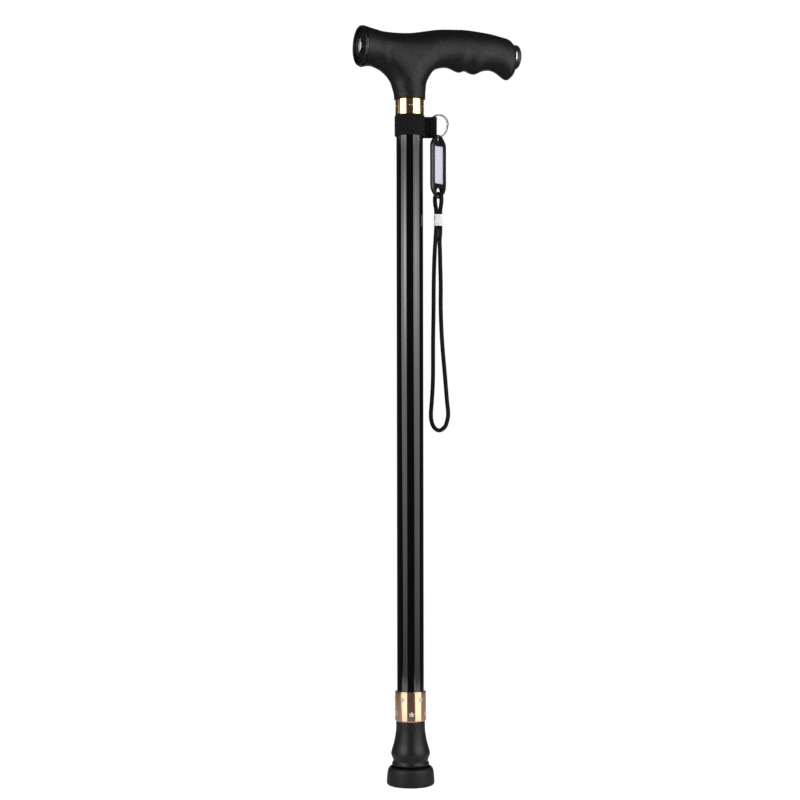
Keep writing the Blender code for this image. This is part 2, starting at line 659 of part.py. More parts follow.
def add_torch(parts, parent, button_parent):
    """The torch from its bezel back to the push button."""
    place = (0.0, 0.0, TORCH_AXIS_Z)
    along_x = (0.0, math.pi / 2, 0.0)

    def add_along(name, outline, material, sides=SMALL_SIDES, carrier=parent):
        return add_piece(name, turned(name, outline, sides), material, carrier, place, along_x)

    lip = BEZEL_LIP / 2
    bezel_back = NOSE_X - SEAT_GAP
    bezel_bore = LENS_RADIUS + SEAT_GAP
    dish_rim = BEZEL_RADIUS - BEZEL_LIP * 0.75
    bezel = [(BEZEL_SPIGOT_RADIUS, bezel_back), (BEZEL_RADIUS, bezel_back)]
    bezel += arc((BEZEL_RADIUS - lip, FRONT_FACE_X + lip), lip, 0.0, -90.0, 4)
    bezel += [(dish_rim, FRONT_FACE_X + BEZEL_DISH_DROP), (bezel_bore, LENS_FRONT_X)]
    bezel += [(bezel_bore, SPIGOT_END_X), (BEZEL_SPIGOT_RADIUS, SPIGOT_END_X)]
    add_along("torch_bezel", bezel, parts["gloss"], ROUND_SIDES)

    lens = [(0.0, LENS_FRONT_X), (LENS_RADIUS, LENS_FRONT_X), (LENS_RADIUS, LENS_BACK_X), (0.0, LENS_BACK_X)]
    add_along("torch_lens", lens, parts["clear"])

    throat = REFLECTOR_HOLE_RADIUS
    waist = LENS_RADIUS * REFLECTOR_WAIST_SHARE
    waist_x = REFLECTOR_MOUTH_X + REFLECTOR_WAIST_DEPTH
    reflector = [
        (LENS_RADIUS, REFLECTOR_MOUTH_X),
        (LENS_RADIUS, REFLECTOR_MOUTH_X + REFLECTOR_WALL),
        (waist, waist_x),
        (throat + REFLECTOR_WALL, REFLECTOR_END_X),
        (throat, REFLECTOR_END_X),
        (waist - REFLECTOR_WALL, waist_x),
        (LENS_RADIUS - REFLECTOR_WALL, REFLECTOR_MOUTH_X),
    ]
    add_along("torch_reflector", reflector, parts["chrome"])

    board = [(0.0, BOARD_X - LED_RADIUS * 1.5)]
    board += arc((0.0, BOARD_X - LED_RADIUS * 0.5), LED_RADIUS, -60.0, 0.0, 3)
    board += [(LED_RADIUS, BOARD_X), (LENS_RADIUS, BOARD_X), (LENS_RADIUS, BOARD_X + BOARD_THICKNESS)]
    board += [(0.0, BOARD_X + BOARD_THICKNESS)]
    add_along("led_board", board, parts["board"])

    contact_nub = CELL_NUB_RADIUS
    contact_face = BOARD_X + BOARD_THICKNESS + SEAT_GAP
    contact = [
        (0.0, contact_face),
        (contact_nub, contact_face),
        (contact_nub, CONTACT_X),
        (CELL_RADIUS, CONTACT_X),
        (CELL_RADIUS, CONTACT_X + CONTACT_THICKNESS),
        (0.0, CONTACT_X + CONTACT_THICKNESS),
    ]
    add_along("front_contact", contact, parts["brass"])

    bore = SLEEVE_RADIUS - SLEEVE_WALL
    sleeve = [
        (bore, SLEEVE_X),
        (SLEEVE_RADIUS, SLEEVE_X),
        (SLEEVE_RADIUS, SLEEVE_END_X),
        (bore, SLEEVE_END_X),
    ]
    add_along("battery_sleeve", sleeve, parts["inner_plastic"])

    for name, start in (("battery_front", CELL_FRONT_X), ("battery_rear", CELL_REAR_X)):
        cell = [
            (0.0, start),
            (CELL_NUB_RADIUS, start),
            (CELL_NUB_RADIUS, start + CELL_NUB_LENGTH),
            (CELL_RADIUS, start + CELL_NUB_LENGTH),
            (CELL_RADIUS, start + CELL_LENGTH),
            (0.0, start + CELL_LENGTH),
        ]
        add_along(name, cell, parts["cell"])

    pitch = (SPRING_LENGTH - 2 * SPRING_WIRE_RADIUS) / SPRING_TURNS
    wire = arc((SPRING_RADIUS, SPRING_X + SPRING_WIRE_RADIUS), SPRING_WIRE_RADIUS, 0.0, 288.0, 4)
    spring = coil("battery_spring", wire, SPRING_TURNS, pitch, 12)
    add_piece("battery_spring", spring, parts["steel"], parent, place, along_x)

    stem_bore = BUTTON_STEM_RADIUS + SEAT_GAP
    stem_depth = BUTTON_TRAVEL + BUTTON_STEM_ROOM
    switch = [
        (0.0, SWITCH_X),
        (SWITCH_RADIUS, SWITCH_X),
        (SWITCH_RADIUS, SWITCH_END_X),
        (stem_bore, SWITCH_END_X),
        (stem_bore, SWITCH_END_X - stem_depth),
        (0.0, SWITCH_END_X - stem_depth),
    ]
    add_along("switch_body", switch, parts["inner_plastic"])

    trim_end = TRIM_RING_X + TRIM_RING_THICKNESS
    trim_bore = SWITCH_BORE_RADIUS + SEAT_GAP
    trim = [
        (trim_bore, TRIM_RING_X),
        (TRIM_RING_RADIUS, TRIM_RING_X),
        (TRIM_RING_RADIUS, trim_end),
        (trim_bore, trim_end),
    ]
    add_along("tail_trim_ring", trim, parts["chrome"], ROUND_SIDES)

    cap_bore = BUTTON_RADIUS + SEAT_GAP
    spigot_bore = BUTTON_RADIUS + BUTTON_FLANGE + SEAT_GAP
    cap = [(SWITCH_RADIUS, CAP_X), (CAP_RADIUS, CAP_X)]
    cap += arc((CAP_RADIUS - CAP_EDGE, CAP_END_X - CAP_EDGE), CAP_EDGE, 0.0, 90.0, 3)
    cap += [(cap_bore, CAP_END_X), (cap_bore, CAP_END_X - CAP_LIP), (spigot_bore, CAP_END_X - CAP_LIP)]
    cap += [(spigot_bore, CAP_X - CAP_SPIGOT_LENGTH), (SWITCH_RADIUS, CAP_X - CAP_SPIGOT_LENGTH)]
    add_along("tail_cap", cap, parts["inner_plastic"], ROUND_SIDES)

    flange_front = CAP_END_X - CAP_LIP - SEAT_GAP
    flange_back = flange_front - BUTTON_FLANGE
    flange_radius = BUTTON_RADIUS + BUTTON_FLANGE
    stem_end = SWITCH_END_X - BUTTON_STEM_REACH
    button = [
        (0.0, stem_end),
        (BUTTON_STEM_RADIUS, stem_end),
        (BUTTON_STEM_RADIUS, flange_back),
        (flange_radius, flange_back),
        (flange_radius, flange_front),
        (BUTTON_RADIUS, flange_front),
        (BUTTON_RADIUS, CAP_END_X),
        (BUTTON_RADIUS * 0.80, CAP_END_X + BUTTON_RISE * 0.7),
        (BUTTON_RADIUS * 0.45, CAP_END_X + BUTTON_RISE * 0.95),
        (0.0, CAP_END_X + BUTTON_RISE),
    ]
    add_along("tail_button", button, parts["rubber"], ROUND_SIDES, button_parent)


def add_stick(parts, upper, leg, lock):
    """Outer tube with its plug, collar and clamp, and the inner tube that slides in it."""
    bore = TUBE_RADIUS - TUBE_WALL
    tube = [
        (bore, TUBE_BOTTOM_Z),
        (TUBE_RADIUS, TUBE_BOTTOM_Z),
        (TUBE_RADIUS, TUBE_TOP_Z),
        (bore, TUBE_TOP_Z),
    ]
    add_piece("outer_tube", turned("outer_tube", tube), parts["black_paint"], upper)

    plug_radius = bore - SLIDE_GAP
    flange_z = TUBE_TOP_Z + SEAT_GAP
    plug_bottom = flange_z - TUBE_PLUG_LENGTH
    plug_bore = plug_radius - TUBE_PLUG_WALL
    plug = [
        (plug_radius, plug_bottom),
        (plug_radius, flange_z),
        (TUBE_RADIUS, flange_z),
        (TUBE_RADIUS, flange_z + TUBE_PLUG_FLANGE),
        (0.0, flange_z + TUBE_PLUG_FLANGE),
        (0.0, flange_z),
        (plug_bore, flange_z),
        (plug_bore, plug_bottom),
    ]
    add_piece("tube_plug", turned("tube_plug", plug), parts["inner_plastic"], upper)

    collar_top = COLLAR_Z + COLLAR_HEIGHT
    edge = COLLAR_EDGE
    collar = [
        (TUBE_SOCKET_RADIUS, COLLAR_Z),
        (COLLAR_RADIUS - edge, COLLAR_Z),
        (COLLAR_RADIUS, COLLAR_Z + edge),
        (COLLAR_RADIUS, collar_top - edge),
        (COLLAR_RADIUS - edge, collar_top),
        (TUBE_SOCKET_RADIUS, collar_top),
    ]
    add_piece("upper_collar", turned("upper_collar", collar), parts["gold"], upper)

    ring_bore = LOCK_RING_RADIUS - LOCK_RING_WALL
    lip_z = LOCK_RING_TOP_Z - LOCK_RING_LIP
    cone_z = LOCK_RING_Z + LOCK_RING_LIP
    cone_top_z = cone_z + LOCK_CONE_HEIGHT
    neck_bore = INNER_TUBE_RADIUS + SEAT_GAP
    cone_radius = ring_bore - LOCK_CONE_DROP
    edge = LOCK_RING_EDGE
    ring = [(neck_bore, LOCK_RING_Z)]
    ring += arc((LOCK_RING_RADIUS - edge, LOCK_RING_Z + edge), edge, -90.0, 0.0, 3)
    ring += arc((LOCK_RING_RADIUS - edge, LOCK_RING_TOP_Z - edge), edge, 0.0, 90.0, 3)
    ring += [(TUBE_SOCKET_RADIUS, LOCK_RING_TOP_Z), (TUBE_SOCKET_RADIUS, lip_z), (ring_bore, lip_z)]
    ring += [(ring_bore, cone_top_z), (cone_radius, cone_z), (neck_bore, cone_z)]
    add_piece("lock_ring", turned("lock_ring", ring), parts["gold"], lock)

    collet_radius = ring_bore - SLIDE_GAP
    collet_z = cone_z + SEAT_GAP
    collet_top = lip_z - SEAT_GAP
    collet = [
        (neck_bore, collet_z),
        (cone_radius - SLIDE_GAP * 2, collet_z),
        (collet_radius, cone_top_z),
        (collet_radius, collet_top),
        (TUBE_SOCKET_RADIUS, collet_top),
        (TUBE_SOCKET_RADIUS, TUBE_BOTTOM_Z - SEAT_GAP),
        (neck_bore, TUBE_BOTTOM_Z - SEAT_GAP),
    ]
    clamp = add_piece("collet", turned("collet", collet), parts["inner_plastic"], upper)
    for step in range(2):
        slit_top = collet_z + COLLET_SLIT_HEIGHT
        low = (-LOCK_RING_RADIUS, -COLLET_SLIT / 2, collet_z - COLLET_SLIT_HEIGHT)
        high = (LOCK_RING_RADIUS, COLLET_SLIT / 2, slit_top)
        name = f"collet_slit_guide_{step + 1}"
        slit = add_guide(name, block(name, low, high), turn=(0.0, 0.0, math.pi / 4 + math.pi / 2 * step))
        cut(clamp, slit)

    inner_bore = INNER_TUBE_RADIUS - INNER_TUBE_WALL
    inner = [
        (inner_bore, INNER_TUBE_Z),
        (INNER_TUBE_RADIUS, INNER_TUBE_Z),
        (INNER_TUBE_RADIUS, INNER_TUBE_TOP_Z),
        (inner_bore, INNER_TUBE_TOP_Z),
    ]
    add_piece("inner_tube", turned("inner_tube", inner), parts["grey_metal"], leg)

    spigot_radius = inner_bore - SLIDE_GAP
    glide_z = INNER_TUBE_TOP_Z + SEAT_GAP
    glide = [
        (0.0, glide_z - GLIDE_SPIGOT),
        (spigot_radius, glide_z - GLIDE_SPIGOT),
        (spigot_radius, glide_z),
        (bore - SLIDE_GAP, glide_z),
        (bore - SLIDE_GAP, glide_z + GLIDE_HEIGHT),
        (0.0, glide_z + GLIDE_HEIGHT),
    ]
    add_piece("inner_tube_glide", turned("inner_tube_glide", glide), parts["inner_plastic"], leg)

    end_plug = [
        (0.0, PLUG_FLANGE_Z),
        (INNER_TUBE_RADIUS, PLUG_FLANGE_Z),
        (INNER_TUBE_RADIUS, PLUG_FLANGE_Z + END_PLUG_FLANGE),
        (spigot_radius, PLUG_FLANGE_Z + END_PLUG_FLANGE),
        (spigot_radius, PLUG_FLANGE_Z + END_PLUG_LENGTH),
        (0.0, PLUG_FLANGE_Z + END_PLUG_LENGTH),
    ]
    add_piece("tube_end_plug", turned("tube_end_plug", end_plug), parts["inner_plastic"], leg)


def add_boot(parts, leg):
    """Rubber boot with a steel disc and the ball stud moulded in its floor."""
    grip_radius = INNER_TUBE_RADIUS + SLIDE_GAP
    stem_bore = STUD_STEM_RADIUS + SEAT_GAP
    head_bore = STUD_HEAD_RADIUS + SEAT_GAP
    head_z = SOCKET_FLOOR_Z - STUD_HEAD_THICKNESS
    skirt_bore = BOOT_SKIRT_RADIUS - BOOT_SKIRT_WALL
    ring_z = BOOT_BASE_Z + BOOT_RING_RISE
    waist_z = ring_z + BOOT_WAIST_RISE
    bulge_z = waist_z + BOOT_BULGE_RISE
    ease = BOOT_ROUNDING
    boot = [
        (skirt_bore, BOOT_BASE_Z),
        (BOOT_SKIRT_RADIUS, BOOT_BASE_Z),
        (BOOT_SKIRT_RADIUS + ease * 0.2, ring_z - ease * 2.2),
        (BOOT_RING_RADIUS - ease * 0.8, ring_z - ease * 1.6),
        (BOOT_RING_RADIUS - ease * 0.2, ring_z - ease),
        (BOOT_RING_RADIUS, ring_z),
        (BOOT_RING_RADIUS - ease * 0.3, ring_z + ease * 0.9),
        (BOOT_WAIST_RADIUS, waist_z - ease * 0.7),
        (BOOT_WAIST_RADIUS, waist_z + ease * 0.5),
        (BOOT_BULGE_RADIUS - ease * 0.7, bulge_z - ease * 2.5),
        (BOOT_BULGE_RADIUS - ease * 0.1, bulge_z - ease),
        (BOOT_BULGE_RADIUS, bulge_z),
    ]
    rise = BOOT_TOP_Z - bulge_z
    swell = BOOT_BULGE_RADIUS - BOOT_TOP_RADIUS
    boot += [(BOOT_TOP_RADIUS + swell * out, bulge_z + rise * up) for up, out in BOOT_TAPER]
    boot += [
        (BOOT_TOP_RADIUS, BOOT_TOP_Z - ease * 0.3),
        (BOOT_TOP_RADIUS - ease * 0.3, BOOT_TOP_Z),
        (grip_radius, BOOT_TOP_Z),
        (grip_radius, SOCKET_FLOOR_Z),
        (head_bore, SOCKET_FLOOR_Z),
        (head_bore, head_z - SEAT_GAP * 2),
        (stem_bore, head_z - SEAT_GAP * 2),
        (stem_bore, BOOT_WEB_Z),
        (skirt_bore, BOOT_WEB_Z),
    ]
    add_piece("foot_boot", turned("foot_boot", boot), parts["rubber"], leg)

    washer = [
        (0.0, WASHER_Z),
        (INNER_TUBE_RADIUS, WASHER_Z),
        (INNER_TUBE_RADIUS, WASHER_Z + WASHER_THICKNESS),
        (0.0, WASHER_Z + WASHER_THICKNESS),
    ]
    add_piece("boot_washer", turned("boot_washer", washer), parts["steel"], leg)

    neck_angle = math.degrees(math.acos(STUD_STEM_RADIUS / BALL_RADIUS))
    stud = arc((0.0, BALL_CENTRE_Z), BALL_RADIUS, -90.0, neck_angle, 8)
    stud[0] = (0.0, BALL_CENTRE_Z - BALL_RADIUS)
    stud += [(STUD_STEM_RADIUS, head_z - SEAT_GAP), (STUD_HEAD_RADIUS, head_z - SEAT_GAP)]
    stud += [(STUD_HEAD_RADIUS, SOCKET_FLOOR_Z - SEAT_GAP), (0.0, SOCKET_FLOOR_Z - SEAT_GAP)]
    add_piece("ball_stud", turned("ball_stud", stud, SMALL_SIDES), parts["steel"], leg)


def add_foot(parts, foot, cup, liner):
    """Round pad with the cup and liner that hold the ball."""
    centre = (0.0, BALL_CENTRE_Z)
    mouth = 90.0 - SOCKET_MOUTH_ANGLE
    outside = arc(centre, LINER_RADIUS, -90.0, mouth, 8)
    inside = arc(centre, LINER_BORE_RADIUS, mouth, -90.0, 8)
    outside[0] = (0.0, BALL_CENTRE_Z - LINER_RADIUS)
    inside[-1] = (0.0, BALL_CENTRE_Z - LINER_BORE_RADIUS)
    bowl = turned("socket_liner", outside + inside, SMALL_SIDES)
    add_piece("socket_liner", bowl, parts["inner_plastic"], liner)

    hollow = arc(centre, CUP_BORE_RADIUS, mouth, -90.0, 8)
    hollow[-1] = (0.0, BALL_CENTRE_Z - CUP_BORE_RADIUS)
    shell = [(0.0, CUP_BASE_Z), (CUP_RADIUS, CUP_BASE_Z), (CUP_RADIUS, CUP_TOP_Z)] + hollow
    add_piece("socket_cup", turned("socket_cup", shell, SMALL_SIDES), parts["inner_plastic"], cup)

    cup_bore = CUP_RADIUS + SEAT_GAP
    cup_floor = CUP_BASE_Z - SEAT_GAP
    dish_z = PAD_HEIGHT - PAD_DISH_DEPTH
    pad = [(0.0, 0.0)]
    for step in range(2):
        inner = TREAD_INNER_RADIUS + step * TREAD_PITCH
        outer = inner + TREAD_WIDTH
        pad += [(inner, 0.0), (inner, TREAD_DEPTH), (outer, TREAD_DEPTH), (outer, 0.0)]
    pad += arc((PAD_RADIUS - PAD_EDGE, PAD_EDGE), PAD_EDGE, -90.0, 0.0, 3)
    side_lean = PAD_RADIUS - PAD_LEAN
    shoulder = PAD_HEIGHT - PAD_SHOULDER_DROP
    ease = PAD_ROUNDING
    pad += [
        (PAD_RADIUS, PAD_EDGE * 2.3),
        (side_lean, shoulder - ease * 3),
        (side_lean - ease, shoulder),
        (PAD_SHOULDER_RADIUS + ease, PAD_HEIGHT - ease),
        (PAD_SHOULDER_RADIUS, PAD_HEIGHT),
        (PAD_DISH_RADIUS, PAD_HEIGHT - ease),
        (PAD_DISH_RADIUS - ease * 2.4, dish_z),
        (cup_bore, dish_z),
        (cup_bore, cup_floor),
        (0.0, cup_floor),
    ]
    add_piece("foot_pad", turned("foot_pad", pad), parts["rubber"], foot)


def tab_place(right, back):
    """World X and Y of a place given along the tab's own directions."""
    turn = Matrix.Rotation(TAB_TURN, 2)
    return turn @ Vector((right, back))


def ring_hinge_place():
    """Where the split ring turns in the strap's fold, along the tab's directions."""
    right = RING_RIGHT - RING_HINGE_OFFSET * math.cos(RING_TURN)
    back = RING_BACK - RING_HINGE_OFFSET * math.sin(RING_TURN)
    return right, back


def strap_arc(radius, start, end, steps):
    """Corners along the band's round stretch, angles in degrees from the tab's direction towards the back."""
    corners = []
    for step in range(steps + 1):
        angle = math.radians(start + (end - start) * step / steps)
        corners.append((radius * math.cos(angle), radius * math.sin(angle)))
    return corners


def add_strap(parts, strap):
    """Webbing band round the tube, its ends sewn into a tab that folds round the split ring."""
    hinge_right, hinge_back = ring_hinge_place()
    front_angle = math.degrees(math.asin(TAB_FRONT / STRAP_RADIUS))
    bulge = TAB_BULGE
    bulge_back = hinge_back + bulge
    outline = strap_arc(STRAP_RADIUS, front_angle, STRAP_BACK_ANGLE - 360.0, 26)
    outline += [
        (hinge_right - bulge, bulge_back),
        (hinge_right - bulge * 0.5, bulge_back - bulge * 0.02),
        (TAB_END - bulge * 0.11, hinge_back + bulge * 0.38),
        (TAB_END, hinge_back + bulge * 0.07),
        (TAB_END - bulge * 0.04, hinge_back - bulge * 0.22),
        (TAB_END - bulge * 0.18, TAB_FRONT + bulge * 0.02),
        (hinge_right - bulge * 0.55, TAB_FRONT),
    ]
    fold_front = TAB_FRONT + TAB_WALL
    fold_back = bulge_back - TAB_WALL
    tunnel = [
        (hinge_right - bulge * 1.07, bulge_back - bulge * 0.36),
        (hinge_right - bulge * 1.02, hinge_back + bulge * 0.20),
        (hinge_right - bulge * 0.47, fold_front + bulge * 0.04),
        (TAB_END - TAB_WALL * 1.6, fold_front),
        (TAB_END - TAB_WALL, hinge_back + bulge * 0.05),
        (TAB_END - TAB_WALL * 1.5, hinge_back + bulge * 0.31),
        (hinge_right - bulge * 0.5, fold_back - bulge * 0.02),
        (hinge_right - bulge * 0.8, fold_back),
    ]
    turn = (0.0, 0.0, TAB_TURN)
    shape = plate("strap_band", outline, STRAP_Z, STRAP_TOP_Z)
    band = add_piece("strap_band", shape, parts["webbing"], strap, turn=turn)
    beyond = 0.002
    fold = plate("strap_fold_guide", tunnel, STRAP_Z - beyond, STRAP_TOP_Z + beyond)
    fold_guide = add_guide("strap_fold_guide", fold, turn=turn)
    bore = [
        (0.0, STRAP_Z - beyond),
        (STRAP_BORE_RADIUS, STRAP_Z - beyond),
        (STRAP_BORE_RADIUS, STRAP_TOP_Z + beyond),
        (0.0, STRAP_TOP_Z + beyond),
    ]
    bore_guide = add_guide("strap_bore_guide", turned("strap_bore_guide", bore))
    reach = RING_WIRE_THICKNESS + SEAT_GAP + RING_HINGE_OFFSET * math.sin(RING_SWING) / 2
    mouth = arc((RING_RADIUS, 0.0), reach, 0.0, 330.0, 11)
    mouth_guide = add_guide("strap_mouth_guide", turned("strap_mouth_guide", mouth), *ring_stance())
    cut(band, bore_guide, fold_guide, mouth_guide)


def hang_place(height):
    """World place of the line on which the ring, tag and cords hang."""
    across = tab_place(RING_RIGHT, RING_BACK)
    return Vector((across.x, across.y, height))


def ring_stance():
    """World location and turn of the split ring, whose local Z is its axis."""
    return hang_place(RING_Z), (math.pi / 2, 0.0, TAB_TURN + RING_TURN)


def tag_stance(height):
    """World location and turn of the tag: local X across it, Y up, Z out of its label side."""
    return hang_place(height), (math.pi / 2, 0.0, TAB_TURN + RING_TURN + math.pi / 2)


def add_split_ring(parts, ring):
    """Flat steel wire wound twice."""
    pitch = RING_WIRE_THICKNESS + FLAT_GAP / 2
    half_width = RING_WIRE_WIDTH / 2
    half_thickness = RING_WIRE_THICKNESS / 2
    section = [
        (RING_RADIUS - half_width, -pitch),
        (RING_RADIUS - half_width * 0.7, -pitch - half_thickness),
        (RING_RADIUS + half_width * 0.7, -pitch - half_thickness),
        (RING_RADIUS + half_width, -pitch),
        (RING_RADIUS + half_width * 0.7, -pitch + half_thickness),
        (RING_RADIUS - half_width * 0.7, -pitch + half_thickness),
    ]
    wound = coil("split_ring", section, 2, pitch, 28)
    place, turn = ring_stance()
    add_piece("split_ring", wound, parts["steel"], ring, place, turn)


def tag_outline():
    """The tag's outline, its tapered ends rounded, from the middle of the top clockwise."""
    half = TAG_HALF_WIDTH
    top = TAG_LENGTH / 2
    side = [(half * out, top - TAG_SHOULDER * down) for out, down in TAG_TOP_CURVE]
    side += [(half * out, -top + TAG_FOOT_SHOULDER * up) for out, up in TAG_FOOT_CURVE]
    return side + [(-across, height) for across, height in reversed(side)]


def thin_end(shape, start, end, thickness, end_thickness):
    """Plane both faces of a plate down towards one end."""
    drop = (thickness - end_thickness) / 2
    run = end - start
    for face in (1.0, -1.0):
        normal = Vector((0.0, math.copysign(drop, run), face * abs(run))).normalized()
        parts_of_shape = shape.verts[:] + shape.edges[:] + shape.faces[:]
        opened = bmesh.ops.bisect_plane(
            shape, geom=parts_of_shape, dist=1e-7, plane_co=(0.0, start, face * thickness / 2),
            plane_no=normal, clear_outer=True)
        rim = [item for item in opened["geom_cut"] if isinstance(item, bmesh.types.BMEdge)]
        bmesh.ops.contextual_create(shape, geom=rim)


def add_tag(parts, tag):
    """Plastic frame with a paper label under a clear cover."""
    middle = (TAG_TOP_Z + TAG_BOTTOM_Z) / 2
    place, turn = tag_stance(middle)
    half = TAG_THICKNESS / 2
    shape = bmesh.new()
    corners = [shape.verts.new((across, height, -half)) for across, height in tag_outline()]
    face = shape.faces.new(corners)
    raised = bmesh.ops.extrude_face_region(shape, geom=[face])
    moved = [item for item in raised["geom"] if isinstance(item, bmesh.types.BMVert)]
    bmesh.ops.translate(shape, vec=(0.0, 0.0, TAG_THICKNESS), verts=moved)
    end = TAG_LENGTH / 2
    label_top = end - LABEL_DROP
    label_foot = label_top - LABEL_HEIGHT
    thin_end(shape, label_top + TAG_FLAT_MARGIN, end, TAG_THICKNESS, TAG_TIP_THICKNESS)
    thin_end(shape, label_foot - TAG_FLAT_MARGIN, -end, TAG_THICKNESS, TAG_FOOT_THICKNESS)
    body = add_piece("tag_body", to_mesh(shape, "tag_body"), parts["tag_plastic"], tag, place, turn)
    ease_edges(body, TAG_EDGE)

    slot_top = end - TAG_WEB
    hole_bottom = -end + TAG_FOOT_WEB
    slot_half = TAG_SLOT_WIDTH / 2
    hole_half = TAG_HOLE_WIDTH / 2
    beyond = TAG_THICKNESS
    corner = TAG_SLOT_CORNER
    slot = [
        (-slot_half, slot_top - TAG_SLOT_HEIGHT),
        (slot_half, slot_top - TAG_SLOT_HEIGHT),
        (slot_half, slot_top - corner),
        (slot_half - corner, slot_top),
        (-slot_half + corner, slot_top),
        (-slot_half, slot_top - corner),
    ]
    hole_top = hole_bottom + TAG_HOLE_HEIGHT
    corner = TAG_HOLE_CORNER
    hole_side = [
        (hole_half - corner, hole_bottom),
        (hole_half, hole_bottom + corner * 1.6),
        (hole_half, hole_top - corner * 0.85),
        (hole_half - corner * 0.6, hole_top),
    ]
    hole = hole_side + [(-across, height) for across, height in reversed(hole_side)]
    slot_guide = add_guide("tag_slot_guide", plate("tag_slot_guide", slot, -beyond, beyond), place, turn)
    hole_guide = add_guide("tag_hole_guide", plate("tag_hole_guide", hole, -beyond, beyond), place, turn)
    floor = half - WINDOW_DEPTH
    low = (-LABEL_WIDTH / 2, label_foot, floor)
    high = (LABEL_WIDTH / 2, label_top, beyond)
    recess = add_guide("tag_recess_guide", block("tag_recess_guide", low, high), place, turn)
    cut(body, slot_guide, hole_guide, recess)

    def add_sheet(name, height, thickness, material):
        start = (low[0] + FLAT_GAP, low[1] + FLAT_GAP, height)
        finish_corner = (high[0] - FLAT_GAP, high[1] - FLAT_GAP, height + thickness)
        add_piece(name, block(name, start, finish_corner), material, tag, place, turn)

    label_z = floor + FLAT_GAP
    add_sheet("tag_label", label_z, LABEL_THICKNESS, parts["paper"])
    add_sheet("tag_window", label_z + LABEL_THICKNESS + FLAT_GAP, WINDOW_THICKNESS, parts["clear"])


def oval(width, depth, steps):
    """A long oval outline with round ends."""
    radius = depth / 2
    offset = width / 2 - radius
    outline = []
    for side, start in ((1, -90.0), (-1, 90.0)):
        for step in range(steps + 1):
            angle = math.radians(start + 180.0 * step / steps)
            outline.append((side * offset + radius * math.cos(angle), radius * math.sin(angle)))
    return outline


# Small loop, up from the crimp: distance from the middle line, turn, height above the tag's lower web
EYE_ROUTE = [
    (0.00163, 0.0, -0.0177),
    (0.00163, 0.0, -0.0131),
    (0.0020, -8.0, -0.0105),
    (0.0027, -20.0, -0.0070),
    (0.0031, -30.0, -0.0035),
    (0.0032, -35.0, 0.0),
    (0.0026, -35.0, 0.0018),
]
EYE_TOP = 0.0028

# Wrist loop, down one side and up the other: across the loop, height from the crimp's lower face
WRIST_ROUTE = [
    (-0.00163, 0.00475),
    (-0.00163, 0.0),
    (-0.0021, -0.0053),
    (-0.0028, -0.0136),
    (-0.0036, -0.0285),
    (-0.0040, -0.0617),
    (-0.0044, -0.0950),
    (-0.0046, -0.1282),
    (-0.0055, -0.1448),
    (-0.0063, -0.1556),
    (-0.0059, -0.1614),
    (-0.0044, -0.1659),
    (-0.0020, -0.1687),
    (0.0004, -0.1696),
    (0.0030, -0.1687),
    (0.0057, -0.1659),
    (0.0072, -0.1614),
    (0.0080, -0.1556),
    (0.0070, -0.1448),
    (0.0057, -0.1282),
    (0.0030, -0.0950),
    (0.0020, -0.0617),
    (0.0016, -0.0285),
    (0.0015, -0.0136),
    (0.0016, -0.0053),
    (0.00163, 0.0),
    (0.00163, 0.00475),
]


def add_lanyard(parts, lanyard):
    """Braided cord: a small eye through the tag, a metal crimp and the wrist loop."""
    middle = hang_place(0.0)

    def across_place(distance, turn, height):
        heading = TAB_TURN + math.radians(turn)
        offset = Vector((math.cos(heading), math.sin(heading), 0.0)) * distance
        return middle + offset + Vector((0.0, 0.0, height))

    web = TAG_WEB_CENTRE_Z
    first = [across_place(-distance, turn, web + rise) for distance, turn, rise in EYE_ROUTE]
    top = [across_place(0.0, 0.0, web + EYE_TOP)]
    second = [across_place(distance, turn, web + rise) for distance, turn, rise in reversed(EYE_ROUTE)]
    add_cord("tag_cord_loop", first + top + second, parts["cord"], lanyard)

    route = [across_place(distance, 0.0, CRIMP_Z + rise) for distance, rise in WRIST_ROUTE]
    add_cord("wrist_loop_cord", route, parts["cord"], lanyard)

    turn = (0.0, 0.0, TAB_TURN)
    place = hang_place(CRIMP_Z)
    shell = plate("cord_crimp", oval(CRIMP_WIDTH, CRIMP_DEPTH, 6), 0.0, CRIMP_HEIGHT)
    crimp = add_piece("cord_crimp", shell, parts["steel"], lanyard, place, turn)
    beyond = 0.001
    bore = oval(CRIMP_WIDTH - 2 * CRIMP_WALL, CRIMP_DEPTH - 2 * CRIMP_WALL, 6)
    hollow = plate("crimp_bore_guide", bore, -beyond, CRIMP_HEIGHT + beyond)
    cut(crimp, add_guide("crimp_bore_guide", hollow, place, turn))


for item in list(bpy.data.objects):
    bpy.data.objects.remove(item)

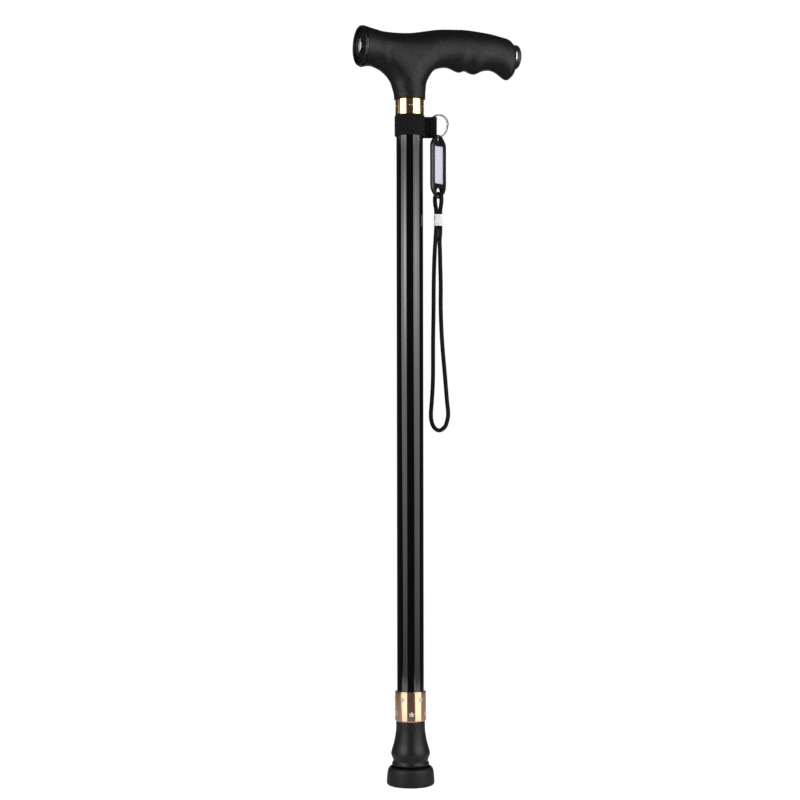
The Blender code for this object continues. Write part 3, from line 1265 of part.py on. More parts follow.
finishes = {
    "rubber": finish("black rubber", (0.035, 0.036, 0.038), 0.75),
    "grip": finish("grained black plastic", (0.040, 0.040, 0.042), 0.60),
    "gloss": finish("gloss black plastic", (0.012, 0.012, 0.013), 0.15),
    "inner_plastic": finish("plain black plastic", (0.050, 0.050, 0.052), 0.45),
    "tag_plastic": finish("tag plastic", (0.018, 0.018, 0.020), 0.30),
    "black_paint": finish("gloss black paint", (0.008, 0.008, 0.009), 0.12),
    "grey_metal": finish("brushed grey tube", (0.45, 0.45, 0.46), 0.35, 1.0),
    "gold": finish("yellow metal", (0.85, 0.66, 0.34), 0.18, 1.0),
    "chrome": finish("chrome", (0.80, 0.80, 0.82), 0.08, 1.0),
    "steel": finish("steel", (0.66, 0.66, 0.68), 0.22, 1.0),
    "brass": finish("brass", (0.78, 0.60, 0.28), 0.30, 1.0),
    "board": finish("circuit board", (0.05, 0.22, 0.09), 0.50),
    "cell": finish("cell jacket", (0.30, 0.33, 0.36), 0.35),
    "clear": finish("clear plastic", (0.90, 0.92, 0.94), 0.05, 0.0, 0.35),
    "paper": finish("label paper", (0.86, 0.84, 0.93), 0.80),
    "webbing": finish("black webbing", (0.022, 0.022, 0.022), 0.90),
    "cord": finish("black braided cord", (0.020, 0.020, 0.021), 0.85),
}

ball_centre = (0.0, 0.0, BALL_CENTRE_Z)
hinge_across = tab_place(*ring_hinge_place())
foot_frame = pivot("foot_frame", (0.0, 0.0, 0.0))
swivel_axis = pivot("foot_swivel_axis", ball_centre, foot_frame)
side_axis = pivot("foot_tilt_side_axis", ball_centre, swivel_axis)
fore_axis = pivot("foot_tilt_fore_axis", ball_centre, side_axis)
telescope_axis = pivot("telescope_axis", (0.0, 0.0, TUBE_BOTTOM_Z), fore_axis)
lock_axis = pivot("lock_ring_axis", (0.0, 0.0, LOCK_RING_Z), telescope_axis)
button_axis = pivot("torch_button_axis", (CAP_END_X, 0.0, TORCH_AXIS_Z), telescope_axis)
strap_axis = pivot("strap_axis", (0.0, 0.0, STRAP_Z), telescope_axis)
ring_axis = pivot("ring_axis", (hinge_across.x, hinge_across.y, RING_Z), strap_axis)
tag_axis = pivot("tag_axis", hang_place(RING_BOTTOM_Z), ring_axis)
lanyard_axis = pivot("lanyard_axis", hang_place(TAG_WEB_CENTRE_Z), tag_axis)

add_foot(finishes, foot_frame, swivel_axis, side_axis)
add_boot(finishes, fore_axis)
add_stick(finishes, telescope_axis, fore_axis, lock_axis)
add_handle(finishes["grip"], telescope_axis)
add_torch(finishes, telescope_axis, button_axis)
add_strap(finishes, strap_axis)
add_split_ring(finishes, ring_axis)
add_tag(finishes, tag_axis)
add_lanyard(finishes, lanyard_axis)
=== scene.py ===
"""Looks of a telescopic walking stick: torch handle, twist lock, pivoting foot, key tag and wrist loop.

Metres, +Z up, in the frame of the part: the origin is the middle of the sole and the handle runs along X.
"""
import math

import bmesh
import bpy
from mathutils import Euler, Matrix, Vector
from mathutils.geometry import interpolate_bezier


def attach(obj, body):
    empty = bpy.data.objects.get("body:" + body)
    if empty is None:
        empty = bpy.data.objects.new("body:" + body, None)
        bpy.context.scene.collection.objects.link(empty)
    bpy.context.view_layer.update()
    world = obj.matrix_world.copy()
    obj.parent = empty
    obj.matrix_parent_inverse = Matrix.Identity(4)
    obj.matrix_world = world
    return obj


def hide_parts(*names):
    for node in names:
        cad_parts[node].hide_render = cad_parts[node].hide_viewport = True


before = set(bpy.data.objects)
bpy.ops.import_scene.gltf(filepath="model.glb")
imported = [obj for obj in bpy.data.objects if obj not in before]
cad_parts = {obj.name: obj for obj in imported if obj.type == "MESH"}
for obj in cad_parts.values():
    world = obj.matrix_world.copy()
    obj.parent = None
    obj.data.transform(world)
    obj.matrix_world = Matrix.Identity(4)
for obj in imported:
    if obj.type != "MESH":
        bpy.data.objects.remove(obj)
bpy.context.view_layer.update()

# Studio: a small round white floor, and two tall soft panels in front, to the left and right of the stick.
# Two more behind it only lift its shaded side, and small cards are there for the foot and the gold rings to
# mirror. The camera stands 1.5 m away, level with the stick's middle.
UP = Vector((0.0, 0.0, 1.0))
CAMERA_RIGHT = Vector((0.9272, -0.3746, 0.0))
CAMERA_AHEAD = Vector((0.3746, 0.9272, 0.0))
CAMERA_PLACE = Vector((-0.5741, -1.3988, 0.3175))
CAMERA_ROLL = math.radians(0.09)
CAMERA_LENS = 82.3
CAMERA_SENSOR = 36.0
CAMERA_NEAR = 0.05
CAMERA_FAR = 20.0
WHITE = (1.0, 1.0, 1.0, 1.0)
FLOOR_RADIUS = 0.30
FLOOR_GREY = (0.50, 0.50, 0.50, 1.0)
FLOOR_GLOW = 0.82
FLOOR_MIRRORED = 0.1
# Light of the room on glossy and on matt surfaces, and the cosines from straight behind the stick between
# which its mirrored white starts
ROOM_GLOSS = 0.05
ROOM_FILL = 0.12
BACKDROP_EDGE = (0.93, 0.95)
PANEL_DISTANCE = 0.90
CORE_DISTANCE = 0.81
PANEL_FOOT = -0.25
PANEL_HEAD = 1.15
# Rows of a panel: height, then the turns of its inner and outer edge from the camera's direction in degrees
LEFT_PANEL = [(PANEL_FOOT, -26.5, -62.0), (0.10, -26.5, -66.0), (0.42, -29.0, -79.0),
              (PANEL_HEAD, -29.0, -80.0)]
RIGHT_PANEL = [(PANEL_FOOT, 36.0, 85.0), (0.18, 36.0, 87.0), (0.45, 29.5, 89.0), (PANEL_HEAD, 29.5, 89.0)]
REAR_PANELS = [("rear left soft panel", -118.0, -160.0), ("rear right soft panel", 118.0, 160.0)]
# Glow of the panels at heights over the sole
PANEL_GLOW = [(PANEL_FOOT, 1.8), (-0.090, 1.8), (-0.080, 2.0), (-0.050, 2.0), (-0.044, 0.6), (-0.03, 0.6),
              (0.08, 1.1), (0.19, 1.5), (0.30, 1.9), (0.38, 2.3), (0.45, 2.9), (0.51, 3.1), (0.57, 2.4),
              (0.60, 2.0), (0.64, 1.5), (0.66, 3.3), (0.70, 3.3), (0.73, 2.2), (0.90, 2.0), (PANEL_HEAD, 1.8)]
REAR_GLOW = [(PANEL_FOOT, 0.6), (0.45, 1.4), (PANEL_HEAD, 1.4)]
GLOW_SCALE = 10.0
# Small cards: name, foot, head, inner and outer turn, glow
CARDS = [("low left card", PANEL_FOOT, -0.044, -75.0, -150.0, 0.30),
         ("low right card", PANEL_FOOT, -0.044, 85.0, 150.0, 0.30),
         ("low middle card", PANEL_FOOT, -0.066, -26.5, 36.0, 0.09),
         ("left ring card", -0.084, -0.046, -62.0, -75.0, 1.8),
         ("right ring card", -0.084, -0.046, 31.0, 36.0, 1.8),
         ("left collar card", 0.655, 0.705, -80.0, -110.0, 0.40),
         ("right collar card", 0.655, 0.705, 89.0, 106.0, 0.40)]
# The brightest place of each front panel: turn, height, half width, half height and how much is added
LEFT_CORE = (-42.0, 0.50, 0.12, 0.11, 1.7)
RIGHT_CORE = (52.0, 0.50, 0.16, 0.12, 0.6)


def give(tree, node, inputs):
    """Give a node's sockets a value, or join them to another node's output."""
    for socket, value in inputs.items():
        if isinstance(value, bpy.types.NodeSocket):
            tree.links.new(value, node.inputs[socket])
        else:
            node.inputs[socket].default_value = value


def wire(tree, kind, inputs=None, **settings):
    """A shader node with its settings and its sockets filled in."""
    node = tree.nodes.new("ShaderNode" + kind)
    for name, value in settings.items():
        setattr(node, name, value)
    give(tree, node, inputs or {})
    return node


def maths(tree, operation, *values, **settings):
    """What a maths node makes of some values."""
    return wire(tree, "Math", dict(enumerate(values)), operation=operation, **settings).outputs[0]


def vector_maths(tree, operation, first, second):
    """What a vector maths node makes of two vectors."""
    made = wire(tree, "VectorMath", {0: first, 1: second}, operation=operation).outputs
    return made["Value" if operation == "DOT_PRODUCT" else "Vector"]


def mapped(tree, value, start, end, low=0.0, high=1.0, **settings):
    """A value brought from one range to another."""
    reach = {"Value": value, "From Min": start, "From Max": end, "To Min": low, "To Max": high}
    return wire(tree, "MapRange", reach, **settings).outputs["Result"]


def place_in(tree):
    """The place in the object's own frame."""
    return wire(tree, "TexCoord").outputs["Object"]


def parts_of(tree, vector):
    """The X, Y and Z of a vector."""
    return wire(tree, "SeparateXYZ", {"Vector": vector}).outputs


def new_finish(name):
    """A new material, its tree and its shader."""
    finish = bpy.data.materials.new(name)
    finish.use_nodes = True
    return finish, finish.node_tree, finish.node_tree.nodes["Principled BSDF"]


def add_object(name, mesh):
    """An object of a mesh, linked to the scene."""
    item = bpy.data.objects.new(name, mesh)
    bpy.context.scene.collection.objects.link(item)
    return item


def add_mesh_object(name, shape):
    """An object of a finished bmesh."""
    mesh = bpy.data.meshes.new(name)
    shape.to_mesh(mesh)
    shape.free()
    return add_object(name, mesh)


def from_camera_side(turn, distance):
    """A place at floor level in the direction turned from the camera's by some degrees."""
    return Matrix.Rotation(math.radians(turn), 3, "Z") @ -CAMERA_AHEAD * distance


def panel(name, rows, glow, core=None):
    """A standing soft panel, brighter at its core, that the camera itself doesn't see."""
    shape = bmesh.new()
    edges = []
    for height, *turns in rows:
        pair = [shape.verts.new(from_camera_side(turn, PANEL_DISTANCE) + UP * height) for turn in turns]
        edges.append(shape.edges.new(pair))
    bmesh.ops.bridge_loops(shape, edges=edges)
    lamp = add_mesh_object(name, shape)
    lamp.visible_camera = False
    lamp.visible_transmission = False
    light, tree, _ = new_finish(name)
    tree.nodes.clear()
    place = place_in(tree)
    low, high = glow[0][0], glow[-1][0]
    ramp = wire(tree, "ValToRGB", {"Fac": mapped(tree, parts_of(tree, place)["Z"], low, high)})
    stops = ramp.color_ramp.elements
    levels = [(*(level / GLOW_SCALE,) * 3, 1.0) for _, level in glow]
    stops[0].color = levels[0]
    stops[1].color = levels[-1]
    for (at_height, _), level in zip(glow[1:-1], levels[1:-1]):
        stops.new((at_height - low) / (high - low)).color = level
    strength = maths(tree, "MULTIPLY", ramp.outputs["Color"], GLOW_SCALE)
    if core:
        turn, core_height, half_width, half_height, extra = core
        middle = from_camera_side(turn, CORE_DISTANCE) + UP * core_height
        reach = (1 / half_width, 1 / half_width, 1 / half_height)
        offset = vector_maths(tree, "SUBTRACT", place, middle)
        offset = vector_maths(tree, "MULTIPLY", offset, reach)
        squared = vector_maths(tree, "DOT_PRODUCT", offset, offset)
        fall = maths(tree, "POWER", math.exp(-1.0), squared)
        strength = maths(tree, "MULTIPLY", strength, maths(tree, "MULTIPLY_ADD", fall, extra, 1.0))
    lit = wire(tree, "Emission", {"Strength": strength})
    wire(tree, "OutputMaterial", {"Surface": lit.outputs["Emission"]})
    lamp.data.materials.append(light)
    return lamp


panel("left soft panel", LEFT_PANEL, PANEL_GLOW, LEFT_CORE)
panel("right soft panel", RIGHT_PANEL, PANEL_GLOW, RIGHT_CORE)
for name, inner, outer in REAR_PANELS:
    rear = panel(name, [(PANEL_FOOT, inner, outer), (PANEL_HEAD, inner, outer)], REAR_GLOW)
    rear.visible_glossy = False
for name, foot, head, inner, outer, level in CARDS:
    panel(name, [(foot, inner, outer), (head, inner, outer)], [(foot, level), (head, level)])

room = bpy.data.worlds.new("studio")
room.use_nodes = True
bpy.context.scene.world = room
tree = room.node_tree
tree.nodes.clear()
ray = wire(tree, "LightPath").outputs
behind = vector_maths(tree, "DOT_PRODUCT", wire(tree, "TexCoord").outputs["Generated"], CAMERA_AHEAD)
mirrored = maths(tree, "MULTIPLY", ray["Is Glossy Ray"], mapped(tree, behind, *BACKDROP_EDGE))
seen = maths(tree, "MAXIMUM", ray["Is Camera Ray"], ray["Is Transmission Ray"])
white = maths(tree, "MAXIMUM", seen, mirrored)
fill = mapped(tree, ray["Is Diffuse Ray"], 0.0, 1.0, low=ROOM_GLOSS, high=ROOM_FILL)
dim = wire(tree, "Background", {"Color": WHITE, "Strength": fill})
bright = wire(tree, "Background", {"Color": WHITE, "Strength": 1.0})
mixed = wire(tree, "MixShader", {0: white, 1: dim.outputs[0], 2: bright.outputs[0]})
wire(tree, "OutputWorld", {"Surface": mixed.outputs["Shader"]})

ground = bmesh.new()
bmesh.ops.create_circle(ground, cap_ends=True, segments=96, radius=FLOOR_RADIUS)
floor = add_mesh_object("floor", ground)
cover, tree, skin = new_finish("white floor")
ray = wire(tree, "LightPath").outputs
looked = maths(tree, "MULTIPLY", ray["Is Glossy Ray"], FLOOR_MIRRORED)
looked = maths(tree, "MAXIMUM", ray["Is Camera Ray"], looked)
looked = maths(tree, "MAXIMUM", looked, ray["Is Transmission Ray"])
give(tree, skin, {
    "Base Color": FLOOR_GREY, "Roughness": 1.0, "Specular IOR Level": 0.0, "Emission Color": WHITE,
    "Emission Strength": maths(tree, "MULTIPLY", looked, FLOOR_GLOW)})
floor.data.materials.append(cover)

bpy.context.scene.view_settings.view_transform = "Standard"
camera = add_object("camera", bpy.data.cameras.new("camera"))
bpy.context.scene.camera = camera
camera.data.lens = CAMERA_LENS
camera.data.sensor_width = CAMERA_SENSOR
camera.data.clip_start = CAMERA_NEAR
camera.data.clip_end = CAMERA_FAR
rolled_right = CAMERA_RIGHT * math.cos(CAMERA_ROLL) - UP * math.sin(CAMERA_ROLL)
rolled_up = UP * math.cos(CAMERA_ROLL) + CAMERA_RIGHT * math.sin(CAMERA_ROLL)
turned = Matrix((rolled_right, rolled_up, -CAMERA_AHEAD)).transposed().to_4x4()
camera.matrix_world = Matrix.Translation(CAMERA_PLACE) @ turned

# Foot pad: a wide puck of matte black rubber moulded in one piece, dished on top for the ball joint, with
# two ring grooves in its sole. It swivels and rocks on the joint, and its lower edge is scuffed grey by the
# ground.
PAD_RADIUS = 0.0197
PAD_EDGE = 0.0018
PAD_GROOVES = [(0.0078, 0.0094), (0.0120, 0.0136)]
PAD_GROOVE_DEPTH = 0.0010
PAD_SIDE = [(0.0197, 0.0030), (0.0195, 0.0068), (0.0191, 0.0105), (0.0186, 0.0128), (0.0178, 0.0142),
            (0.0169, 0.0149)]
PAD_DISH = [(0.0163, 0.0144), (0.0151, 0.0115), (0.0076, 0.0115), (0.0076, 0.0029), (0.0, 0.0029)]
PAD_STEP = 0.0008
SCUFF_TOP = 0.0030
SCUFF = (0.040, 0.037, 0.034)
RUBBER_DARK = (0.0060, 0.0060, 0.0066)
RUBBER_LIGHT = (0.0105, 0.0105, 0.0115)
# Edges that turn by more are shaded sharp, and rounded where a piece has eased edges
SMOOTH_ANGLE = math.radians(35.0)
EASED_ANGLE = math.radians(30.0)
# Corners this near to each other are one, and the least distance at which a stretch's shading is held flat
WELD_REACH = 1e-6
BRACE_REACH = 0.0003


def arc(centre, radius, start, end, steps):
    """Points of radius and height along a round stretch, its angles in degrees from the outward side."""
    points = []
    for step in range(steps + 1):
        angle = math.radians(start + (end - start) * step / steps)
        points.append((centre[0] + radius * math.cos(angle), centre[1] + radius * math.sin(angle)))
    return points


def flowing(points, spacing):
    """Points along one smooth curve through the given ones, about the spacing apart."""
    path = [Vector(point) for point in points]
    path = [point.to_3d() if len(point) == 2 else point for point in path]
    reach = [path[0] * 2 - path[1]] + path + [path[-1] * 2 - path[-2]]
    route = [path[0]]
    for before, start, end, after in zip(reach, reach[1:], reach[2:], reach[3:]):
        length = (end - start).length
        steps = max(1, round(length / spacing))
        leave = start + (end - before).normalized() * length / 3
        arrive = end - (after - start).normalized() * length / 3
        route += interpolate_bezier(start, leave, arrive, end, steps + 1)[1:]
    return [tuple(place[:2]) for place in route] if len(points[0]) == 2 else route


def round_pairs(items):
    """Each item of a closed row with the next one."""
    return zip(items, items[1:] + items[:1])


def braced(outline, reach):
    """A closed outline with points added near the ends of long stretches, to keep their shading flat."""
    points = []
    for start, end in round_pairs(outline):
        points.append(start)
        length = math.dist(start, end)
        if length > 4 * reach:
            for share in (reach / length, 1.0 - reach / length):
                points.append([a + (b - a) * share for a, b in zip(start, end)])
    return points


def lathe(outline, steps=96, ease=0.0):
    """A closed outline of radius and height turned about Z, with its sharp edges eased."""
    shape = bmesh.new()
    outline = braced(outline, max(BRACE_REACH, 2 * ease))
    corners = [shape.verts.new((radius, 0.0, height)) for radius, height in outline]
    for start, end in round_pairs(corners):
        if start.co.x > 0.0 or end.co.x > 0.0:
            shape.edges.new((start, end))
    line = shape.verts[:] + shape.edges[:]
    bmesh.ops.spin(
        shape, geom=line, cent=(0, 0, 0), axis=(0, 0, 1), angle=math.tau, steps=steps, use_merge=True)
    bmesh.ops.remove_doubles(shape, verts=shape.verts, dist=WELD_REACH)
    bmesh.ops.recalc_face_normals(shape, faces=shape.faces)
    if ease > 0.0:
        ease_sharp(shape, ease)
    return shape


def ease_sharp(shape, width, segments=2):
    """Round the edges that turn clearly."""
    sharp = [edge for edge in shape.edges
             if len(edge.link_faces) == 2 and edge.calc_face_angle() > EASED_ANGLE]
    bmesh.ops.bevel(
        shape, geom=sharp, offset=width, offset_type="OFFSET", segments=segments, profile=0.5, affect="EDGES",
        material=-1, clamp_overlap=True)


def settle(name, shape, finish, body, slot, *stands_for):
    """Make a piece of a shape that is in its place, with its finish, on the body it rides."""
    piece = add_mesh_object(name, shape) if isinstance(shape, bmesh.types.BMesh) else shape
    piece.data.shade_smooth()
    piece.data.set_sharp_from_angle(angle=SMOOTH_ANGLE)
    piece.data.materials.clear()
    piece.data.materials.append(finish)
    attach(piece, body)
    if stands_for:
        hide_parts(*stands_for)
    return piece


def shader_group(name, inputs, **outputs):
    """An empty shader node group that takes numbers and colours, and puts out what it's asked to."""
    group = bpy.data.node_groups.new(name, "ShaderNodeTree")
    for label, value in inputs.items():
        kind = "NodeSocketColor" if isinstance(value, tuple) else "NodeSocketFloat"
        group.interface.new_socket(label, in_out="INPUT", socket_type=kind).default_value = value
    for label, kind in outputs.items():
        group.interface.new_socket(label, in_out="OUTPUT", socket_type="NodeSocket" + kind)
    return group, group.nodes.new("NodeGroupInput").outputs, group.nodes.new("NodeGroupOutput")


def blend(tree, share, first, second):
    """A colour between two others."""
    return wire(tree, "Mix", {0: share, "A": first, "B": second}, data_type="RGBA").outputs["Result"]


def noise(tree, place, scale, detail=2.0, roughness=0.5):
    """The value of a noise at a place."""
    inputs = {"Vector": place, "Scale": scale, "Detail": detail, "Roughness": roughness}
    return wire(tree, "TexNoise", inputs).outputs["Fac"]


def mottled_tone():
    """Soft patches between two colours and between two roughnesses."""
    group, given, out = shader_group("mottled tone", {
        "Patch size": 0.004, "Dark": (0.03, 0.03, 0.03, 1.0), "Light": (0.05, 0.05, 0.05, 1.0), "Smooth": 0.4,
        "Rough": 0.6}, Colour="Color", Roughness="Float")
    place = place_in(group)
    scale = maths(group, "DIVIDE", 1.0, given["Patch size"])
    share = mapped(group, noise(group, place, scale, detail=4.0, roughness=0.62), 0.32, 0.68)
    wear = noise(group, place, maths(group, "MULTIPLY", scale, 0.43), detail=3.0)
    give(group, out, {
        "Colour": blend(group, share, given["Dark"], given["Light"]),
        "Roughness": mapped(group, wear, 0.3, 0.7, given["Smooth"], given["Rough"])})
    return group


def moulded_grain():
    """The fine pebble that a textured mould leaves, as a height."""
    group, given, out = shader_group(
        "moulded grain", {"Pebble size": 0.0006, "Fine share": 0.35}, Height="Float")
    place = place_in(group)
    scale = maths(group, "DIVIDE", 1.0, given["Pebble size"])
    pebbles = {"Vector": place, "Scale": scale, "Smoothness": 0.6}
    cells = wire(group, "TexVoronoi", pebbles, feature="SMOOTH_F1")
    dust = noise(group, place, maths(group, "MULTIPLY", scale, 2.6))
    height = wire(group, "Mix", {0: given["Fine share"], "A": cells.outputs["Distance"], "B": dust})
    give(group, out, {"Height": height.outputs["Result"]})
    return group


MOTTLED_TONE = mottled_tone()
MOULDED_GRAIN = moulded_grain()


def surface(name, dark, light, smooth, rough, patch=0.004, metallic=0.0, specular=0.5):
    """A finish whose tone and roughness drift a little over the surface."""
    finish, tree, skin = new_finish(name)
    tone = wire(tree, "Group", {
        "Patch size": patch, "Dark": (*dark, 1.0), "Light": (*light, 1.0), "Smooth": smooth, "Rough": rough},
        node_tree=MOTTLED_TONE)
    give(tree, skin, {
        "Base Color": tone.outputs["Colour"], "Roughness": tone.outputs["Roughness"], "Metallic": metallic,
        "Specular IOR Level": specular})
    return finish


def shader_of(finish):
    """A finish's tree and its shader."""
    return finish.node_tree, finish.node_tree.nodes["Principled BSDF"]


def press_in(finish, height, depth):
    """Turn a height into the slope of the surface, with its depth in metres."""
    tree, skin = shader_of(finish)
    bump = wire(tree, "Bump", {"Height": height, "Distance": depth, "Strength": 1.0})
    give(tree, skin, {"Normal": bump.outputs["Normal"]})


def grained(finish, pebble, depth, fine=0.35):
    """Give a finish its mould's grain."""
    sizes = {"Pebble size": pebble, "Fine share": fine}
    grain = wire(finish.node_tree, "Group", sizes, node_tree=MOULDED_GRAIN)
    press_in(finish, grain.outputs["Height"], depth)


def tint(finish, mask, colour):
    """Bring a finish's own colour to another one where a mask says so."""
    tree, skin = shader_of(finish)
    own = skin.inputs["Base Color"].links[0].from_socket
    give(tree, skin, {"Base Color": blend(tree, mask, own, (*colour, 1.0))})


def scuffed_below(finish, height, colour):
    """Pale rub marks that thin out up to a height."""
    tree = finish.node_tree
    place = place_in(tree)
    low = mapped(tree, parts_of(tree, place)["Z"], height, 0.0)
    rubs = mapped(tree, noise(tree, place, scale=900.0, detail=5.0, roughness=0.7), 0.48, 0.72)
    tint(finish, maths(tree, "MULTIPLY", low, rubs), colour)


pad_rubber = surface(
    "foot rubber", RUBBER_DARK, RUBBER_LIGHT, smooth=0.44, rough=0.56, patch=0.006, specular=0.45)
scuffed_below(pad_rubber, SCUFF_TOP, SCUFF)
grained(pad_rubber, pebble=0.00035, depth=0.00002, fine=0.6)

sole = [(0.0, 0.0)]
for inner, outer in PAD_GROOVES:
    sole += [(inner, 0.0), (inner, PAD_GROOVE_DEPTH), (outer, PAD_GROOVE_DEPTH), (outer, 0.0)]
sole += arc((PAD_RADIUS - PAD_EDGE, PAD_EDGE), PAD_EDGE, -90.0, 0.0, steps=7)
sole += flowing(PAD_SIDE, PAD_STEP)
settle("foot_pad_rubber", lathe(sole + PAD_DISH, ease=0.0003), pad_rubber, "foot", "rubber", "foot_pad")

# Ball joint: a plated steel ball stud in a nylon liner and cup, pressed into the pad. It is hidden between
# the pad and the boot, so the frame's own solids serve, with their round faces shaded smooth.
STEEL_DARK = (0.50, 0.50, 0.52)
STEEL_LIGHT = (0.66, 0.66, 0.68)
PLASTIC_DARK = (0.0070, 0.0070, 0.0075)
PLASTIC_LIGHT = (0.0110, 0.0110, 0.0118)


def dress(finish, *nodes):
    """Give hidden solids of the frame their finish, with smooth shading over their round faces."""
    for node in nodes:
        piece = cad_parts[node]
        piece.data.materials.clear()
        piece.data.materials.append(finish)
        piece.data.shade_smooth()
        weld = piece.modifiers.new("joined corners", "WELD")
        weld.merge_threshold = WELD_REACH
        split = piece.modifiers.new("crisp edges", "EDGE_SPLIT")
        split.split_angle = SMOOTH_ANGLE


plated_steel = surface(
    "plated steel", STEEL_DARK, STEEL_LIGHT, smooth=0.16, rough=0.30, patch=0.003, metallic=1.0)
grained(plated_steel, pebble=0.0002, depth=0.000004, fine=1.0)
black_plastic = surface("satin black plastic", PLASTIC_DARK, PLASTIC_LIGHT, smooth=0.36, rough=0.50)
grained(black_plastic, pebble=0.00025, depth=0.000008, fine=0.7)
dress(plated_steel, "ball_stud")
dress(black_plastic, "socket_liner", "socket_cup")

# Boot: a bellied sleeve of the same black rubber, moulded with a bead and a short skirt below its belly. It
# grips the end of the inner tube over a steel disc, and the ball stud's head is moulded into its floor.
BOOT_INSIDE = [(0.0097, 0.0523), (0.0097, 0.0319), (0.0073, 0.0319), (0.0073, 0.0283), (0.0033, 0.0283),
               (0.0033, 0.0163), (0.0104, 0.0163), (0.0104, 0.0136)]
BOOT_SKIRT = [(0.0125, 0.0136), (0.0126, 0.0151), (0.0142, 0.0155)]
BOOT_BEAD = [(0.0149, 0.0160), (0.0153, 0.0166), (0.01546, 0.0174), (0.0152, 0.0182), (0.0147, 0.0189)]
BOOT_BELLY = [(0.0144, 0.0194), (0.0144, 0.0204), (0.0148, 0.0216), (0.0154, 0.0232), (0.0160, 0.0247),
              (0.0161, 0.0257), (0.01569, 0.0283), (0.0144, 0.0326), (0.01339, 0.0367), (0.01266, 0.0408),
              (0.0121, 0.0449), (0.0120, 0.0490), (0.0120, 0.0519)]
BOOT_MOUTH = [(0.0117, 0.0523)]
BEAD_STEP = 0.0003
BELLY_STEP = 0.0006

boot_rubber = surface("boot rubber", RUBBER_DARK, RUBBER_LIGHT, smooth=0.36, rough=0.44, patch=0.008)
grained(boot_rubber, pebble=0.00030, depth=0.000016, fine=0.6)
outside = BOOT_SKIRT + flowing(BOOT_BEAD, BEAD_STEP) + flowing(BOOT_BELLY, BELLY_STEP) + BOOT_MOUTH
settle("boot_rubber", lathe(outside + BOOT_INSIDE, ease=0.00015), boot_rubber, "leg", "rubber", "foot_boot")
dress(plated_steel, "boot_washer")
dress(black_plastic, "tube_end_plug", "inner_tube_glide")

# Inner tube: drawn aluminium with a grey satin anodised skin, 19 mm across. It slides in the outer tube on
# a nylon glide, and shows faint lines along its length from drawing and from sliding.
INNER_TUBE = [(0.0085, 0.0348), (0.0095, 0.0348), (0.0095, 0.3858), (0.0085, 0.3858)]


def drawn_lines():
    """Fine lines along Z, as drawing a tube leaves them."""
    group, given, out = shader_group(
        "drawn lines", {"Line width": 0.0003, "Line length": 0.05}, Height="Float")
    across = maths(group, "DIVIDE", 1.0, given["Line width"])
    along = maths(group, "DIVIDE", 1.0, given["Line length"])
    scale = wire(group, "CombineXYZ", {"X": across, "Y": across, "Z": along}).outputs[0]
    stretched = vector_maths(group, "MULTIPLY", place_in(group), scale)
    give(group, out, {"Height": noise(group, stretched, scale=1.0, detail=3.0, roughness=0.6)})
    return group


DRAWN_LINES = drawn_lines()


def drawn(finish, width, length, depth):
    """Give a finish the lengthwise lines of a drawn tube."""
    sizes = {"Line width": width, "Line length": length}
    lines = wire(finish.node_tree, "Group", sizes, node_tree=DRAWN_LINES)
    press_in(finish, lines.outputs["Height"], depth)


anodised = surface("grey anodised tube", (0.40, 0.40, 0.41), (0.48, 0.48, 0.50), smooth=0.28, rough=0.40,
                   patch=0.012, metallic=1.0)
drawn(anodised, width=0.00035, length=0.06, depth=0.00001)
settle("inner_tube_skin", lathe(INNER_TUBE, ease=0.0002), anodised, "leg", "bare_tube", "inner_tube")

# Twist lock: a rolled aluminium ring, bright anodised in rose gold, that turns to squeeze a slit nylon
# collet onto the inner tube. Two staggered rows of small bright blossoms are stamped round it.
LOCK_FOOT = 0.0526
LOCK_HEAD = 0.0778
LOCK_RADIUS = 0.01275
LOCK_BORE_RADIUS = 0.0098
LOCK_EDGE = 0.0010
LOCK_INSIDE = [(0.0113, LOCK_HEAD), (0.0113, 0.0768), (0.01205, 0.0768), (0.01205, 0.0586), (0.01105, 0.0536),
               (LOCK_BORE_RADIUS, 0.0536)]
BLOSSOM_ROWS = [(0.0592, 4.0), (0.0712, -31.0)]
BLOSSOM_COUNT = 5
PETAL_COUNT = 5
PETAL_START = 0.25
PETAL_RADIUS = 0.00086
PETAL_RING = 0.00138
PETAL_RISE = 0.00045
PETAL_SPREAD = Matrix.Diagonal((1.05, 0.90, 1.0, 1.0))
HEART_RADIUS = 0.0005332
HEART_RISE = 0.00054
# How far a dome on a ring starts below the metal
DOME_SINK = 0.00005
CAMERA_SIDE = math.degrees(math.atan2(-CAMERA_AHEAD.y, -CAMERA_AHEAD.x))


def turned_rim(radius, edge, foot, head, steps):
    """The outward side of a ring, from foot to head, with round edges."""
    below = arc((radius - edge, foot + edge), edge, -90.0, 0.0, steps)
    return below + arc((radius - edge, head - edge), edge, 0.0, 90.0, steps)


rose_gold = surface("rose gold anodised", (0.89, 0.54, 0.34), (0.94, 0.58, 0.38), smooth=0.09, rough=0.14,
                    patch=0.010, metallic=0.96)
drawn(rose_gold, width=0.0006, length=0.004, depth=0.000004)
outside = [(LOCK_BORE_RADIUS, LOCK_FOOT)] + turned_rim(LOCK_RADIUS, LOCK_EDGE, LOCK_FOOT, LOCK_HEAD, steps=7)
lock_ring = lathe(outside + LOCK_INSIDE, steps=128)
settle("lock_ring_skin", lock_ring, rose_gold, "lock", "gold_metal", "lock_ring")


def dome(shape, radius, rise, place):
    """A low round dome, placed by a matrix whose Z is its outward side."""
    stretch = Matrix.Diagonal((radius, radius, rise, 1.0))
    bmesh.ops.create_uvsphere(shape, u_segments=14, v_segments=8, radius=1.0, matrix=place @ stretch)


